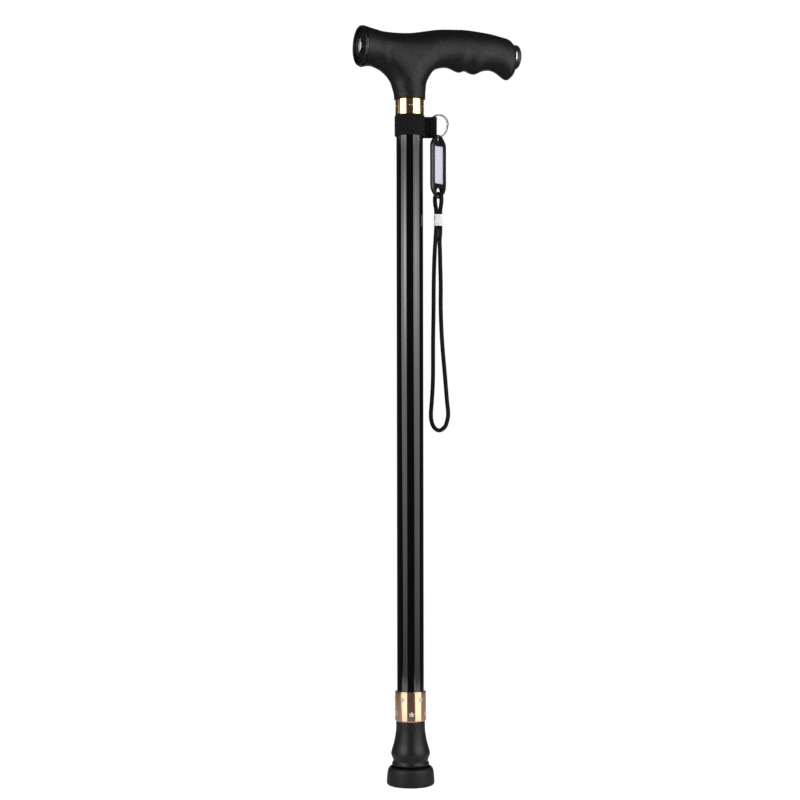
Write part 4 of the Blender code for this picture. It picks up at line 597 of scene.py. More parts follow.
def on_round(radius, height, turn):
    """A matrix on the side of a tube: Z outward, Y up, its turn in degrees from +X."""
    angle = math.radians(turn)
    out = Vector((math.cos(angle), math.sin(angle), 0.0))
    spot = Matrix((UP.cross(out), UP, out)).transposed().to_4x4()
    spot.translation = out * radius + UP * height
    return spot


blossoms = bmesh.new()
for row_height, row_turn in BLOSSOM_ROWS:
    for count in range(BLOSSOM_COUNT):
        turn = CAMERA_SIDE + row_turn + 360.0 * count / BLOSSOM_COUNT
        spot = on_round(LOCK_RADIUS - DOME_SINK, row_height, turn)
        dome(blossoms, HEART_RADIUS, HEART_RISE, spot)
        for petal in range(PETAL_COUNT):
            angle = math.tau * (petal + PETAL_START) / PETAL_COUNT
            offset = Matrix.Translation((PETAL_RING * math.cos(angle), PETAL_RING * math.sin(angle), 0.0))
            spread = Matrix.Rotation(angle, 4, "Z") @ PETAL_SPREAD
            dome(blossoms, PETAL_RADIUS, PETAL_RISE, spot @ offset @ spread)
bright_metal = surface("bright metal", (0.78, 0.78, 0.80), (0.88, 0.88, 0.90), smooth=0.05, rough=0.11,
                       patch=0.002, metallic=1.0)
settle("lock_ring_blossoms", blossoms, bright_metal, "lock", "chrome")
dress(black_plastic, "collet")

# Outer tube: an extruded aluminium tube, 22 mm across, stove enamelled gloss black. Its top is plugged and
# glued into the handle, and its foot sits in the collet of the twist lock.
OUTER_TUBE = [(0.0099, 0.0620), (0.0111, 0.0620), (0.0111, 0.5960), (0.0099, 0.5960)]

enamel = surface("gloss black enamel", (0.0006, 0.0006, 0.0007), (0.0012, 0.0012, 0.0014), smooth=0.05,
                 rough=0.09, patch=0.02)
drawn(enamel, width=0.0022, length=0.09, depth=0.000006)
give(*shader_of(enamel), {"Coat Weight": 0.5, "Coat Roughness": 0.03})
tube = lathe(OUTER_TUBE, steps=160, ease=0.0002)
settle("outer_tube_skin", tube, enamel, "upper", "black_paint", "outer_tube")
dress(black_plastic, "tube_plug")

# Upper collar: a short ferrule of polished, yellow gold anodised aluminium, pressed on under the handle.
# Pairs of tiny bright pins go round its middle.
COLLAR_FOOT = 0.5526
COLLAR_HEAD = 0.5657
COLLAR_RADIUS = 0.01187
COLLAR_INNER_RADIUS = 0.0113
COLLAR_EDGE = 0.0004
PIN_HEIGHT = 0.5597
PIN_PAIR_TURNS = (-0.4, 9.8)
PIN_PAIRS = 5
PIN_RADIUS = 0.00045
PIN_RISE = 0.00036

yellow_gold = surface("yellow gold anodised", (0.90, 0.59, 0.27), (0.98, 0.67, 0.34), smooth=0.08, rough=0.12,
                      patch=0.010, metallic=1.0)
drawn(yellow_gold, width=0.0006, length=0.004, depth=0.000003)
rim = turned_rim(COLLAR_RADIUS, COLLAR_EDGE, COLLAR_FOOT, COLLAR_HEAD, steps=4)
bore = [(COLLAR_INNER_RADIUS, COLLAR_HEAD), (COLLAR_INNER_RADIUS, COLLAR_FOOT)]
collar = lathe(bore[1:] + rim + bore[:1], steps=128)
settle("upper_collar_skin", collar, yellow_gold, "upper", "gold_metal", "upper_collar")
pins = bmesh.new()
for pair in range(PIN_PAIRS):
    for turn in PIN_PAIR_TURNS:
        spot = on_round(
            COLLAR_RADIUS - DOME_SINK, PIN_HEIGHT, CAMERA_SIDE + turn + 360.0 * pair / PIN_PAIRS)
        dome(pins, PIN_RADIUS, PIN_RISE, spot)
settle("collar_pins", pins, bright_metal, "upper", "chrome")

# Handle: two halves of black plastic, moulded with a pebbled grain and glued along the middle plane round
# the torch and the tube. The grip has finger rests and a hooked tail. Its sections' heights are above the
# torch's axis.
AXIS_Z = 0.6073
SHELL_WALL = 0.0018
SHELL_SPLIT = 0.0003
NOSE_X = -0.0420
TAIL_X = 0.0928
NECK_RADIUS = 0.0130
NECK_FOOT = -0.0413
CAGE_PASSES = 24
# Ahead of the neck and behind it: along X, lower height, upper height, half width
NOSE_SECTIONS = [(NOSE_X, -0.0172, 0.0167, 0.0169), (-0.0385, -0.0164, 0.0159, 0.0160),
                 (-0.0340, -0.0160, 0.0149, 0.0152), (-0.0290, -0.0174, 0.0139, 0.0146),
                 (-0.0243, -0.0197, 0.0132, 0.0142)]
GRIP_SECTIONS = [(0.0195, -0.0180, 0.0171, 0.0138), (0.0245, -0.0147, 0.0179, 0.0138),
                 (0.0315, -0.0131, 0.0186, 0.0139), (0.0385, -0.0141, 0.0190, 0.0141),
                 (0.0450, -0.0162, 0.0194, 0.0143), (0.0505, -0.0149, 0.0194, 0.0142),
                 (0.0575, -0.0170, 0.0191, 0.0144), (0.0640, -0.0147, 0.0186, 0.0142),
                 (0.0720, -0.0128, 0.0178, 0.0138), (0.0800, -0.0148, 0.0165, 0.0132),
                 (0.0870, -0.0194, 0.0152, 0.0126), (0.0905, -0.0189, 0.0137, 0.0121),
                 (TAIL_X, -0.0167, 0.0110, 0.0110)]
# Over the neck: along X, height of the side, upper height, half width
NECK_SADDLES = [(-0.0140, -0.0045, 0.0128, 0.0138), (-0.0010, -0.0045, 0.0134, 0.0137),
                (0.0100, -0.0040, 0.0152, 0.0137)]
# Round the neck: height, front and back reach along X, half width
NECK_RINGS = [(-0.0243, -0.0189, 0.0156, 0.0134), (-0.0303, -0.0154, 0.0137, 0.0131),
              (-0.0368, -0.0133, 0.0131, NECK_RADIUS), (NECK_FOOT, -NECK_RADIUS, NECK_RADIUS, NECK_RADIUS)]
# Bores: radius, then the place along X for the torch and the height over the sole for the tube
TORCH_BORE = [(0.0, -0.06), (0.0149, -0.06), (0.0149, -0.0403), (0.0096, -0.0403), (0.0096, -0.0307),
              (0.0068, -0.0307), (0.0068, 0.0688), (0.0083, 0.0688), (0.0083, 0.11), (0.0, 0.11)]
TUBE_BORE = [(0.0, 0.55), (0.0113, 0.55), (0.0113, 0.5986), (0.0, 0.5986)]
CUT_REACH = 1e-7
HALVES = [(-1, "handle_half_left", "handle_left_shell"), (1, "handle_half_right", "handle_right_shell")]


def arm_ring(shape, along, low, high, half_width):
    """Eight corners round the arm, from its top over the +Y side."""
    middle, reach = (low + high) / 2, (high - low) / 2
    ring = []
    for step in range(8):
        angle = math.tau * step / 8
        ring.append(shape.verts.new((along, half_width * math.sin(angle), middle + reach * math.cos(angle))))
    return ring


def arm_saddle(shape, along, side, high, half_width):
    """The upper corners of the arm where the neck meets it, numbered as in a full ring."""
    slant = math.sqrt(0.5)
    shoulder = side + (high - side) * slant
    places = {0: (0.0, high), 1: (half_width * slant, shoulder), 2: (half_width, side),
              6: (-half_width, side), 7: (-half_width * slant, shoulder)}
    return {number: shape.verts.new((along, *place)) for number, place in places.items()}


def neck_ring(shape, height, front, back, half_width):
    """Sixteen corners round the neck, from its front over the +Y side."""
    ring = []
    for step in range(16):
        angle = math.pi - math.tau * step / 16
        along = (front + back) / 2 + (back - front) / 2 * math.cos(angle)
        ring.append(shape.verts.new((along, half_width * math.sin(angle), height)))
    return ring


def rest_place(corner, crease):
    """Where the smooth skin passes for one corner of its cage."""
    sharp = [edge for edge in corner.link_edges if edge[crease] > 0.0]
    if sharp:
        return (corner.co * 4 + sum((edge.other_vert(corner).co for edge in sharp), Vector())) / 6
    count = len(corner.link_edges)
    place = corner.co * count * count
    for edge in corner.link_edges:
        place += edge.other_vert(corner).co * 4
    for face in corner.link_faces:
        loop = next(loop for loop in face.loops if loop.vert == corner)
        place += loop.link_loop_next.link_loop_next.vert.co
    return place / (count * (count + 5))


def join_rings(shape, first, second, steps):
    """Quads between like-numbered corners of two rings."""
    for here, there in steps:
        shape.faces.new((first[here], first[there], second[there], second[here]))


def handle_cage():
    """A coarse cage of the whole handle, drawn so that its smooth skin passes through the sections."""
    shape = bmesh.new()
    crease = shape.edges.layers.float.new("crease_edge")
    noses = [arm_ring(shape, *section) for section in NOSE_SECTIONS]
    saddles = [arm_saddle(shape, *section) for section in NECK_SADDLES]
    grips = [arm_ring(shape, *section) for section in GRIP_SECTIONS]
    for first, second in list(zip(noses, noses[1:])) + list(zip(grips, grips[1:])):
        join_rings(shape, first, second, [(step, (step + 1) % 8) for step in range(8)])
    tops = [noses[-1]] + saddles + [grips[0]]
    for first, second in zip(tops, tops[1:]):
        join_rings(shape, first, second, [(0, 1), (1, 2), (6, 7), (7, 0)])
    front, back = noses[-1], grips[0]
    mouth = [front[4], front[3], front[2]] + [ring[2] for ring in saddles]
    mouth += [back[2], back[3], back[4], back[5], back[6]]
    mouth += [ring[6] for ring in reversed(saddles)] + [front[6], front[5]]
    necks = [mouth] + [neck_ring(shape, *ring) for ring in NECK_RINGS]
    for first, second in zip(necks, necks[1:]):
        join_rings(shape, first, second, [(step, (step + 1) % 16) for step in range(16)])
    for ring in (noses[0], grips[-1], necks[-1]):
        shape.faces.new(ring)
        for pair in round_pairs(ring):
            shape.edges.get(pair)[crease] = 1.0
    wanted = [corner.co.copy() for corner in shape.verts]
    for _ in range(CAGE_PASSES):
        reached = [rest_place(corner, crease) for corner in shape.verts]
        for corner, goal, place in zip(shape.verts, wanted, reached):
            corner.co += goal - place
    bmesh.ops.translate(shape, vec=UP * AXIS_Z, verts=shape.verts)
    bmesh.ops.recalc_face_normals(shape, faces=shape.faces)
    return shape


def finished_mesh(item):
    """The mesh of an object with its modifiers applied. The object itself is removed."""
    mesh = bpy.data.meshes.new_from_object(item.evaluated_get(bpy.context.evaluated_depsgraph_get()))
    bpy.data.objects.remove(item)
    return mesh


def carve(item, *cutters):
    """Apply an object's modifiers, then take the cutters' shapes out of it."""
    guides = [add_mesh_object("cutter", cutter) for cutter in cutters]
    for guide in guides:
        boolean = item.modifiers.new("cut", "BOOLEAN")
        boolean.operation = "DIFFERENCE"
        boolean.object = guide
        boolean.solver = "MANIFOLD"
    name = item.name
    mesh = finished_mesh(item)
    for guide in guides:
        bpy.data.objects.remove(guide)
    return add_object(name, mesh)


def along_torch(shape):
    """Lay a shape that was turned about Z along the torch's axis."""
    bmesh.ops.rotate(shape, cent=(0, 0, 0), matrix=Matrix.Rotation(math.pi / 2, 3, "Y"), verts=shape.verts)
    bmesh.ops.translate(shape, vec=UP * AXIS_Z, verts=shape.verts)
    return shape


def cut_flat(shape, place, normal, **cleared):
    """Cut a shape along a plane, and clear one side of it if asked."""
    return bmesh.ops.bisect_plane(
        shape, geom=shape.verts[:] + shape.edges[:] + shape.faces[:], dist=CUT_REACH, plane_co=place,
        plane_no=normal, **cleared)


handle_plastic = surface("grained black plastic", (0.0004, 0.0004, 0.0004), (0.0140, 0.0140, 0.0145),
                         smooth=0.36, rough=0.50, patch=0.0013, specular=0.29)
grained(handle_plastic, pebble=0.0009, depth=0.00018)

cage = add_mesh_object("handle cage", handle_cage())
smooth = cage.modifiers.new("smooth skin", "SUBSURF")
smooth.levels = 3
smooth.render_levels = 3
handle_skin = finished_mesh(cage)
for side, name, node in HALVES:
    half = bmesh.new()
    half.from_mesh(handle_skin)
    cut_flat(half, (0.0, side * SHELL_SPLIT / 2, 0.0), (0.0, side, 0.0), clear_inner=True)
    shell = add_mesh_object(name, half)
    wall = shell.modifiers.new("wall", "SOLIDIFY")
    wall.thickness = SHELL_WALL
    wall.offset = -1.0
    wall.use_even_offset = True
    shell = carve(shell, along_torch(lathe(TORCH_BORE, steps=64)), lathe(TUBE_BORE, steps=64))
    settle(name, shell, handle_plastic, "upper", "grained_plastic", node)

# Torch head: a gloss black bezel pressed into the handle's nose, with a rounded lip and a shallow dish
# round a clear lens. Behind the lens are a metallised reflector and a small green board with one diode.
BEZEL_BACK = -0.0423
BEZEL_FRONT = -0.0445
BEZEL_RADIUS = 0.0165
BEZEL_LIP = 0.0011
BEZEL_DISH = [(0.01490, -0.04440), (0.01455, -0.04400), (0.01445, -0.0434), (0.0143, -0.0416),
              (0.0140, -0.0412), (0.0132, -0.0411), (0.0105, -0.0421), (0.0080, -0.0431), (0.0070, -0.0435)]
BEZEL_SPIGOT = [(0.0065, -0.0436), (0.0065, -0.0310), (0.0093, -0.0310), (0.0093, -0.0404), (0.0148, -0.0404),
                (0.0148, BEZEL_BACK)]
LENS = [(0.0, -0.04435), (0.0016, -0.04428), (0.0030, -0.04408), (0.0042, -0.0438), (0.0052, -0.0434),
        (0.0062, -0.0432), (0.0062, -0.0428), (0.0, -0.0428)]
REFLECTOR_BOWL = [(0.0053, -0.0427), (0.0051, -0.0420), (0.0047, -0.0412), (0.0046, -0.0400),
                  (0.0041, -0.0390), (0.0039, -0.0378), (0.0034, -0.0366), (0.0030, -0.0352),
                  (0.0022, -0.0335)]
REFLECTOR_BACK = [(0.0027, -0.0335), (0.0040, -0.0352), (0.0048, -0.0372), (0.0055, -0.0392),
                  (0.0060, -0.0412), (0.0062, -0.0427)]
TORCH_STEP = 0.0004
LED_DOME_X = -0.0340
LED_RADIUS = 0.0017
LED_RISE = 0.0019

gloss_black = surface(
    "gloss black plastic", (0.006, 0.006, 0.007), (0.011, 0.011, 0.012), smooth=0.08, rough=0.16, patch=0.006)
grained(gloss_black, pebble=0.0012, depth=0.000004, fine=0.5)
rim = [(BEZEL_RADIUS, BEZEL_BACK)]
rim += arc((BEZEL_RADIUS - BEZEL_LIP, BEZEL_FRONT + BEZEL_LIP), BEZEL_LIP, 0.0, -90.0, steps=8)
head = along_torch(lathe(rim + flowing(BEZEL_DISH, TORCH_STEP) + BEZEL_SPIGOT, steps=128, ease=0.0001))
settle("torch_bezel_skin", head, gloss_black, "upper", "gloss_plastic", "torch_bezel")

clear_plastic, tree, skin = new_finish("clear plastic")
haze = noise(tree, place_in(tree), scale=600.0, detail=3.0)
give(tree, skin, {
    "Base Color": (0.95, 0.96, 0.98, 1.0), "Transmission Weight": 1.0, "IOR": 1.49,
    "Roughness": mapped(tree, haze, 0.0, 1.0, low=0.01, high=0.07)})
lens = along_torch(lathe(LENS, steps=64, ease=0.0001))
settle("torch_lens_skin", lens, clear_plastic, "upper", "clear_plastic", "torch_lens")

mirror = surface("metallised plastic", (0.30, 0.30, 0.31), (0.42, 0.42, 0.43), smooth=0.08, rough=0.18,
                 patch=0.002, metallic=1.0)
bowl = along_torch(lathe(flowing(REFLECTOR_BOWL, TORCH_STEP) + REFLECTOR_BACK, steps=64))
settle("torch_reflector_skin", bowl, mirror, "upper", "chrome", "torch_reflector")

board_lacquer = surface(
    "green board lacquer", (0.012, 0.10, 0.035), (0.02, 0.16, 0.06), smooth=0.25, rough=0.40, patch=0.0012)
dress(board_lacquer, "led_board")
phosphor = surface(
    "yellow diode", (0.80, 0.62, 0.10), (0.90, 0.74, 0.18), smooth=0.25, rough=0.40, patch=0.0006)
diode = bmesh.new()
forward = Matrix.Translation((LED_DOME_X, 0.0, AXIS_Z)) @ Matrix.Rotation(-math.pi / 2, 4, "Y")
dome(diode, LED_RADIUS, LED_RISE, forward)
settle("torch_diode", diode, phosphor, "upper", "circuit_board")

# Torch body: two slim cells in a plastic sleeve between a brass contact and a steel spring, and the push
# switch. All of it is hidden in the handle. The cells' jackets have a pale band at one end.
CELL_PITCH = 0.0448
CELL_BAND = (0.0192, 0.0193)
CELL_PALE = (0.62, 0.60, 0.55)

brass = surface("plain brass", (0.66, 0.48, 0.20), (0.78, 0.60, 0.28), smooth=0.22, rough=0.36, patch=0.002,
                metallic=1.0)
cell_jacket = surface("cell jacket", (0.10, 0.14, 0.22), (0.13, 0.17, 0.26), smooth=0.25, rough=0.35,
                      patch=0.01, metallic=0.6)
tree = cell_jacket.node_tree
along = maths(tree, "PINGPONG", parts_of(tree, place_in(tree))["X"], CELL_PITCH)
tint(cell_jacket, mapped(tree, along, *CELL_BAND), CELL_PALE)
dress(brass, "front_contact")
dress(cell_jacket, "battery_front", "battery_rear")
dress(plated_steel, "battery_spring")
dress(black_plastic, "battery_sleeve", "switch_body")

# Tail: a thin polished trim ring, a round plastic cap with a well rounded edge, and the torch's rubber push
# button standing a little proud of it.
TRIM_RING = [(0.0086, 0.09295), (0.0106, 0.09295), (0.0106, 0.09355), (0.0086, 0.09355)]
CAP_FOOT = 0.0937
CAP_END = 0.0985
CAP_RADIUS = 0.0103
CAP_EDGE = 0.0024
CAP_INSIDE = [(0.0063, 0.0985), (0.0063, 0.0975), (0.0075, 0.0975), (0.0075, 0.0897), (0.0080, 0.0897),
              (0.0080, CAP_FOOT)]
BUTTON_STEM = [(0.0, 0.0877), (0.0020, 0.0877), (0.0020, 0.0960), (0.0072, 0.0960), (0.0072, 0.0972),
               (0.0060, 0.0972)]
BUTTON_TOP = [(0.0060, 0.0985), (0.0057, 0.09905), (0.0048, 0.0994), (0.0034, 0.09966), (0.0017, 0.09976),
              (0.0, 0.0998)]

trim = along_torch(lathe(TRIM_RING, ease=0.00003))
settle("tail_trim_skin", trim, bright_metal, "upper", "chrome", "tail_trim_ring")
outside = [(CAP_RADIUS, CAP_FOOT)]
outside += arc((CAP_RADIUS - CAP_EDGE, CAP_END - CAP_EDGE), CAP_EDGE, 0.0, 90.0, steps=8)
cap = along_torch(lathe(outside + CAP_INSIDE, ease=0.00012))
settle("tail_cap_skin", cap, black_plastic, "upper", "plain_plastic", "tail_cap")
push = along_torch(lathe(BUTTON_STEM + flowing(BUTTON_TOP, TORCH_STEP), steps=64, ease=0.0001))
settle("tail_button_rubber", push, boot_rubber, "button", "rubber", "tail_button")

# Strap: black polypropylene webbing wrapped once round the tube below the collar. Its end folds round the
# split ring into a tab and is sewn down. The outlines' places lie to the right of the tube and behind it.
TAB_TURN = math.radians(-22.0)
STRAP_FOOT = 0.5355
STRAP_HEAD = 0.5523
STRAP_INNER_RADIUS = 0.0113
STRAP_RADIUS = 0.01245
STRAP_EASE = 0.00035
STRAP_BRACE = 0.0008
STRAP_MARGIN = 0.0001
STRAP_STEP = 0.0006
TAB_TURN_IN = 23.7
TAB_TURN_OUT = 66.0
# The part of the tab's lay where a painted shade darkens its webbing towards the tube, in the crease by the
# band where shade falls, and the colour of that painted shade
PAINTED_SHADE_RUN = (-0.0180, -0.0168)
PAINTED_SHADE_COLOUR = (0.0006, 0.0006, 0.0006)
TAB_OUTLINE = [(0.00910, 0.01270), (0.01433, 0.01254), (0.01708, 0.01243), (0.0196, 0.0112),
               (0.02210, 0.00913), (0.02262, 0.0080), (0.02270, 0.00742), (0.02248, 0.00583),
               (0.0221, 0.00535), (0.02171, 0.00511), (0.01680, 0.0050)]
FOLD_OUTLINE = [(0.01395, 0.01056), (0.01422, 0.00814), (0.0156, 0.0065), (0.01725, 0.00612),
                (0.02126, 0.0059), (0.0217, 0.0065), (0.0218, 0.00732), (0.0214, 0.0082), (0.02045, 0.00875),
                (0.01708, 0.01152), (0.01543, 0.01164)]


def only(kind, items):
    """Those items that are of one kind, such as the faces an operator made."""
    return [item for item in items if isinstance(item, kind)]


def raise_plan(loops, low, high, reach=0.0):
    """A plan with holes raised to a solid. Cuts a reach from its ends keep the shading of its sides flat."""
    shape = bmesh.new()
    rims = []
    for loop in loops:
        corners = [shape.verts.new((*corner, low)) for corner in loop]
        rims += [shape.edges.new(pair) for pair in round_pairs(corners)]
    base = only(bmesh.types.BMFace, bmesh.ops.triangle_fill(shape, edges=rims, use_beauty=True)["geom"])
    raised = bmesh.ops.extrude_face_region(shape, geom=base)["geom"]
    bmesh.ops.translate(shape, vec=UP * (high - low), verts=only(bmesh.types.BMVert, raised))
    bmesh.ops.recalc_face_normals(shape, faces=shape.faces)
    if reach > 0.0:
        for height in (low + reach, high - reach):
            cut_flat(shape, UP * height, UP)
    return shape


def lay_of(tree):
    """Where a place is along and across a piece's own lay."""
    return parts_of(tree, wire(tree, "UVMap", uv_map="lay").outputs["UV"])


def crest(tree, value):
    """A round ridge for every whole step of a value."""
    return maths(tree, "ABSOLUTE", maths(tree, "SINE", maths(tree, "MULTIPLY", value, math.pi)))


def put_out_threads(group, out, height, hair_scale):
    """Put out the height of threads, and from it a painted shade, dark between the threads and light on their
    crests, with fine hairs in it.
    """
    hairs = wire(group, "TexNoise", {"Scale": hair_scale, "Detail": 2.0}).outputs["Fac"]
    give(group, out, {"Height": height, "Shade": maths(group, "MULTIPLY", height, hairs)})
    return group


def woven():
    """Ribs and crossing threads of webbing, laid out by the piece's own lengths along and across."""
    group, given, out = shader_group(
        "woven webbing", {"Rib pitch": 0.0009, "Pick pitch": 0.0006}, Height="Float", Shade="Float")
    laid = lay_of(group)
    rib = maths(group, "DIVIDE", laid["Y"], given["Rib pitch"])
    pick = maths(group, "DIVIDE", laid["X"], given["Pick pitch"])
    shift = maths(group, "MULTIPLY", maths(group, "FLOOR", rib), 0.5)
    pick = maths(group, "ADD", pick, shift)
    height = maths(group, "MULTIPLY", crest(group, rib), crest(group, pick))
    return put_out_threads(group, out, height, hair_scale=3500.0)


def cloth(name, dark, light, group, settings, depth, shine):
    """A fibre finish whose threads, and the shade painted between them, come from a group."""
    finish, tree, skin = new_finish(name)
    threads = wire(tree, "Group", settings, node_tree=group)
    # Painted shade: the colour goes dark between the threads and light on their crests
    give(tree, skin, {
        "Base Color": blend(tree, threads.outputs["Shade"], (*dark, 1.0), (*light, 1.0)), "Roughness": 0.70,
        "Sheen Weight": 0.03, "Sheen Roughness": 0.5, "Specular IOR Level": shine})
    press_in(finish, threads.outputs["Height"], depth)
    return finish


webbing = cloth("black webbing", (0.0022, 0.0022, 0.0022), (0.0110, 0.0110, 0.0106), woven(),
                {"Rib pitch": 0.0014, "Pick pitch": 0.0005}, depth=0.00010, shine=0.16)
tree = webbing.node_tree
# Painted shade: the tab's webbing is darkened in colour next to the tube, in the crease by the band where
# shade falls
run = lay_of(tree)["X"]
painted_shade = mapped(tree, run, *PAINTED_SHADE_RUN, interpolation_type="SMOOTHSTEP")
round_the_tube = maths(tree, "GREATER_THAN", run, 0.0)
tint(webbing, maths(tree, "SUBTRACT", painted_shade, round_the_tube, use_clamp=True), PAINTED_SHADE_COLOUR)
plan = arc((0.0, 0.0), STRAP_RADIUS, TAB_TURN_IN, TAB_TURN_OUT - 360.0, steps=96)
plan += flowing(TAB_OUTLINE, STRAP_STEP)
bore = arc((0.0, 0.0), STRAP_INNER_RADIUS, 0.0, 360.0, steps=96)[:-1]
fold = flowing(FOLD_OUTLINE + FOLD_OUTLINE[:1], STRAP_STEP)[:-1]
band = raise_plan([plan, bore, fold], STRAP_FOOT, STRAP_HEAD, STRAP_BRACE)
ease_sharp(band, STRAP_EASE)
lay = band.loops.layers.uv.new("lay")
for face in band.faces:
    for loop in face.loops:
        right, back, height = loop.vert.co
        angle = math.atan2(back, right) % math.tau
        on_tube = math.hypot(right, back) < STRAP_RADIUS + STRAP_MARGIN
        loop[lay].uv = (angle * STRAP_RADIUS if on_tube else -right, height)
bmesh.ops.rotate(band, cent=(0, 0, 0), matrix=Matrix.Rotation(TAB_TURN, 3, "Z"), verts=band.verts)
settle("strap_webbing", band, webbing, "strap", "webbing", "strap_band")

# Split ring: nickel plated spring steel, flattened wire wound twice. It hangs in the fold of the tab and
# carries the key tag.
RING_TURN = math.radians(-35.0)
HANG_PLACE = Vector((0.023530, -0.004761, 0.0))
RING_HEIGHT = 0.5444
RING_RADIUS = 0.0094
RING_WIRE_HALF_WIDTH = 0.0006
RING_WIRE_HALF_THICKNESS = 0.00036
RING_PITCH = 0.000795
RING_STEPS = 72
RING_SIDES = 12
RING_SQUARENESS = 4
RING_FIT = 0.98

section = []
for step in range(RING_SIDES):
    angle = math.tau * step / RING_SIDES
    squared = abs(math.cos(angle)) ** RING_SQUARENESS + abs(math.sin(angle)) ** RING_SQUARENESS
    swell = RING_FIT * squared ** (-1 / RING_SQUARENESS)
    section.append((RING_RADIUS + RING_WIRE_HALF_WIDTH * swell * math.cos(angle),
                    -RING_PITCH + RING_WIRE_HALF_THICKNESS * swell * math.sin(angle)))
ring = bmesh.new()
start = ring.faces.new([ring.verts.new((radius, 0.0, height)) for radius, height in section])
wound = bmesh.ops.spin(
    ring, geom=start.verts[:] + start.edges[:], cent=(0, 0, 0), axis=(0, 0, 1), angle=math.tau * 2,
    dvec=(0, 0, RING_PITCH / RING_STEPS), steps=RING_STEPS * 2)
bmesh.ops.contextual_create(ring, geom=only(bmesh.types.BMEdge, wound["geom_last"]))
bmesh.ops.recalc_face_normals(ring, faces=ring.faces)
stance = Matrix.Translation(HANG_PLACE + UP * RING_HEIGHT)
stance @= Euler((math.pi / 2, 0.0, TAB_TURN + RING_TURN)).to_matrix().to_4x4()
bmesh.ops.transform(ring, matrix=stance, verts=ring.verts)
nickel = surface("bright nickel", (0.34, 0.34, 0.35), (0.44, 0.44, 0.45), smooth=0.12, rough=0.20,
                 patch=0.002, metallic=1.0)
settle("split_ring_wire", ring, nickel, "ring", "steel", "split_ring")

# Key tag: a gloss black frame moulded in one piece, thinner at both ends, with a slot for the ring, a
# recess and a lower hole for the cord. A pale lilac paper slip lies in the recess under a clear cover.
TAG_HEIGHT = 0.51075
TAG_HALF_LENGTH = 0.02645
TAG_HALF_THICKNESS = 0.00175
TAG_TIP_HALF = 0.0010
TAG_FOOT_HALF = 0.0008
TAG_EASE = 0.0007
TAG_STEP = 0.0012
TAG_SIDE = [(0.0, 0.02645), (0.0028, 0.02640), (0.0045, 0.02536), (0.0064, 0.02355), (0.0085, 0.02105),
            (0.0097, 0.01805), (0.0097, 0.0), (0.0097, -0.01685), (0.0092, -0.01955), (0.0076, -0.02205),
            (0.0052, -0.02425), (0.0036, -0.02575), (0.0020, -0.02640), (0.0, -0.02645)]
TAG_SLOT = [(-0.0023, 0.02025), (0.0023, 0.02025), (0.0023, 0.02485), (0.0017, 0.02545), (-0.0017, 0.02545),
            (-0.0023, 0.02485)]
TAG_HOLE = [(-0.0022, -0.02465), (0.0022, -0.02465), (0.0041, -0.02161), (0.0041, -0.01947),
            (0.00296, -0.01785), (-0.00296, -0.01785), (-0.0041, -0.01947), (-0.0041, -0.02161)]
RECESS_LEFT = -0.0072
RECESS_RIGHT = 0.0063
RECESS_TOP = 0.01705
RECESS_FOOT = -0.01425
RECESS_FLOOR = -0.00055
TAPER_MARGIN = 0.0012
CUTTER_REACH = 0.01
SHEET_ROOM = 0.00015
SHEET_EASE = 0.00006
PAPER = (0.81, 0.79, 0.92)
PAPER_SHADED = (0.7695, 0.7505, 0.874)
# Sheets in the recess: piece, slot, node, back, front
SHEETS = [("key_tag_paper", "label_paper", "tag_label", 0.0003, 0.0005),
          ("key_tag_cover", "clear_plastic", "tag_window", 0.0006, 0.0010)]

tag_stance = Matrix.Translation(HANG_PLACE + UP * TAG_HEIGHT)
tag_stance @= Euler((math.pi / 2, 0.0, TAB_TURN + RING_TURN + math.pi / 2)).to_matrix().to_4x4()


def thin_towards(shape, start, end, half, end_half):
    """Plane both faces of a plate down towards one end."""
    for face in (1.0, -1.0):
        normal = Vector((0.0, math.copysign(half - end_half, end - start), face * abs(end - start)))
        opened = cut_flat(shape, (0.0, start, face * half), normal.normalized(), clear_outer=True)
        bmesh.ops.contextual_create(shape, geom=only(bmesh.types.BMEdge, opened["geom_cut"]))


def slab(low, high):
    """A block between two corners."""
    shape = bmesh.new()
    bmesh.ops.create_cube(shape, size=1.0)
    bmesh.ops.scale(shape, vec=Vector(high) - Vector(low), verts=shape.verts)
    bmesh.ops.translate(shape, vec=(Vector(high) + Vector(low)) / 2, verts=shape.verts)
    return shape


side = flowing(TAG_SIDE, TAG_STEP)
outline = side + [(-across, height) for across, height in reversed(side[1:-1])]
plate = raise_plan([outline], -TAG_HALF_THICKNESS, TAG_HALF_THICKNESS)
bmesh.ops.dissolve_limit(plate, angle_limit=0.001, verts=plate.verts, edges=plate.edges)
thin_towards(plate, RECESS_TOP + TAPER_MARGIN, TAG_HALF_LENGTH, TAG_HALF_THICKNESS, TAG_TIP_HALF)
thin_towards(plate, RECESS_FOOT - TAPER_MARGIN, -TAG_HALF_LENGTH, TAG_HALF_THICKNESS, TAG_FOOT_HALF)
bmesh.ops.recalc_face_normals(plate, faces=plate.faces)
ease_sharp(plate, TAG_EASE, segments=6)
slot = raise_plan([TAG_SLOT], -CUTTER_REACH, CUTTER_REACH)
hole = raise_plan([TAG_HOLE], -CUTTER_REACH, CUTTER_REACH)
recess = slab((RECESS_LEFT, RECESS_FOOT, RECESS_FLOOR), (RECESS_RIGHT, RECESS_TOP, CUTTER_REACH))
tag = carve(add_mesh_object("key_tag_frame", plate), slot, hole, recess)
tag.data.transform(tag_stance)
tag_plastic = surface("tag plastic", (0.006, 0.006, 0.007), (0.011, 0.011, 0.012), smooth=0.16, rough=0.24,
                      patch=0.003, specular=0.70)
grained(tag_plastic, pebble=0.0008, depth=0.000006, fine=0.5)
settle("key_tag_frame", tag, tag_plastic, "tag", "gloss_plastic", "tag_body")

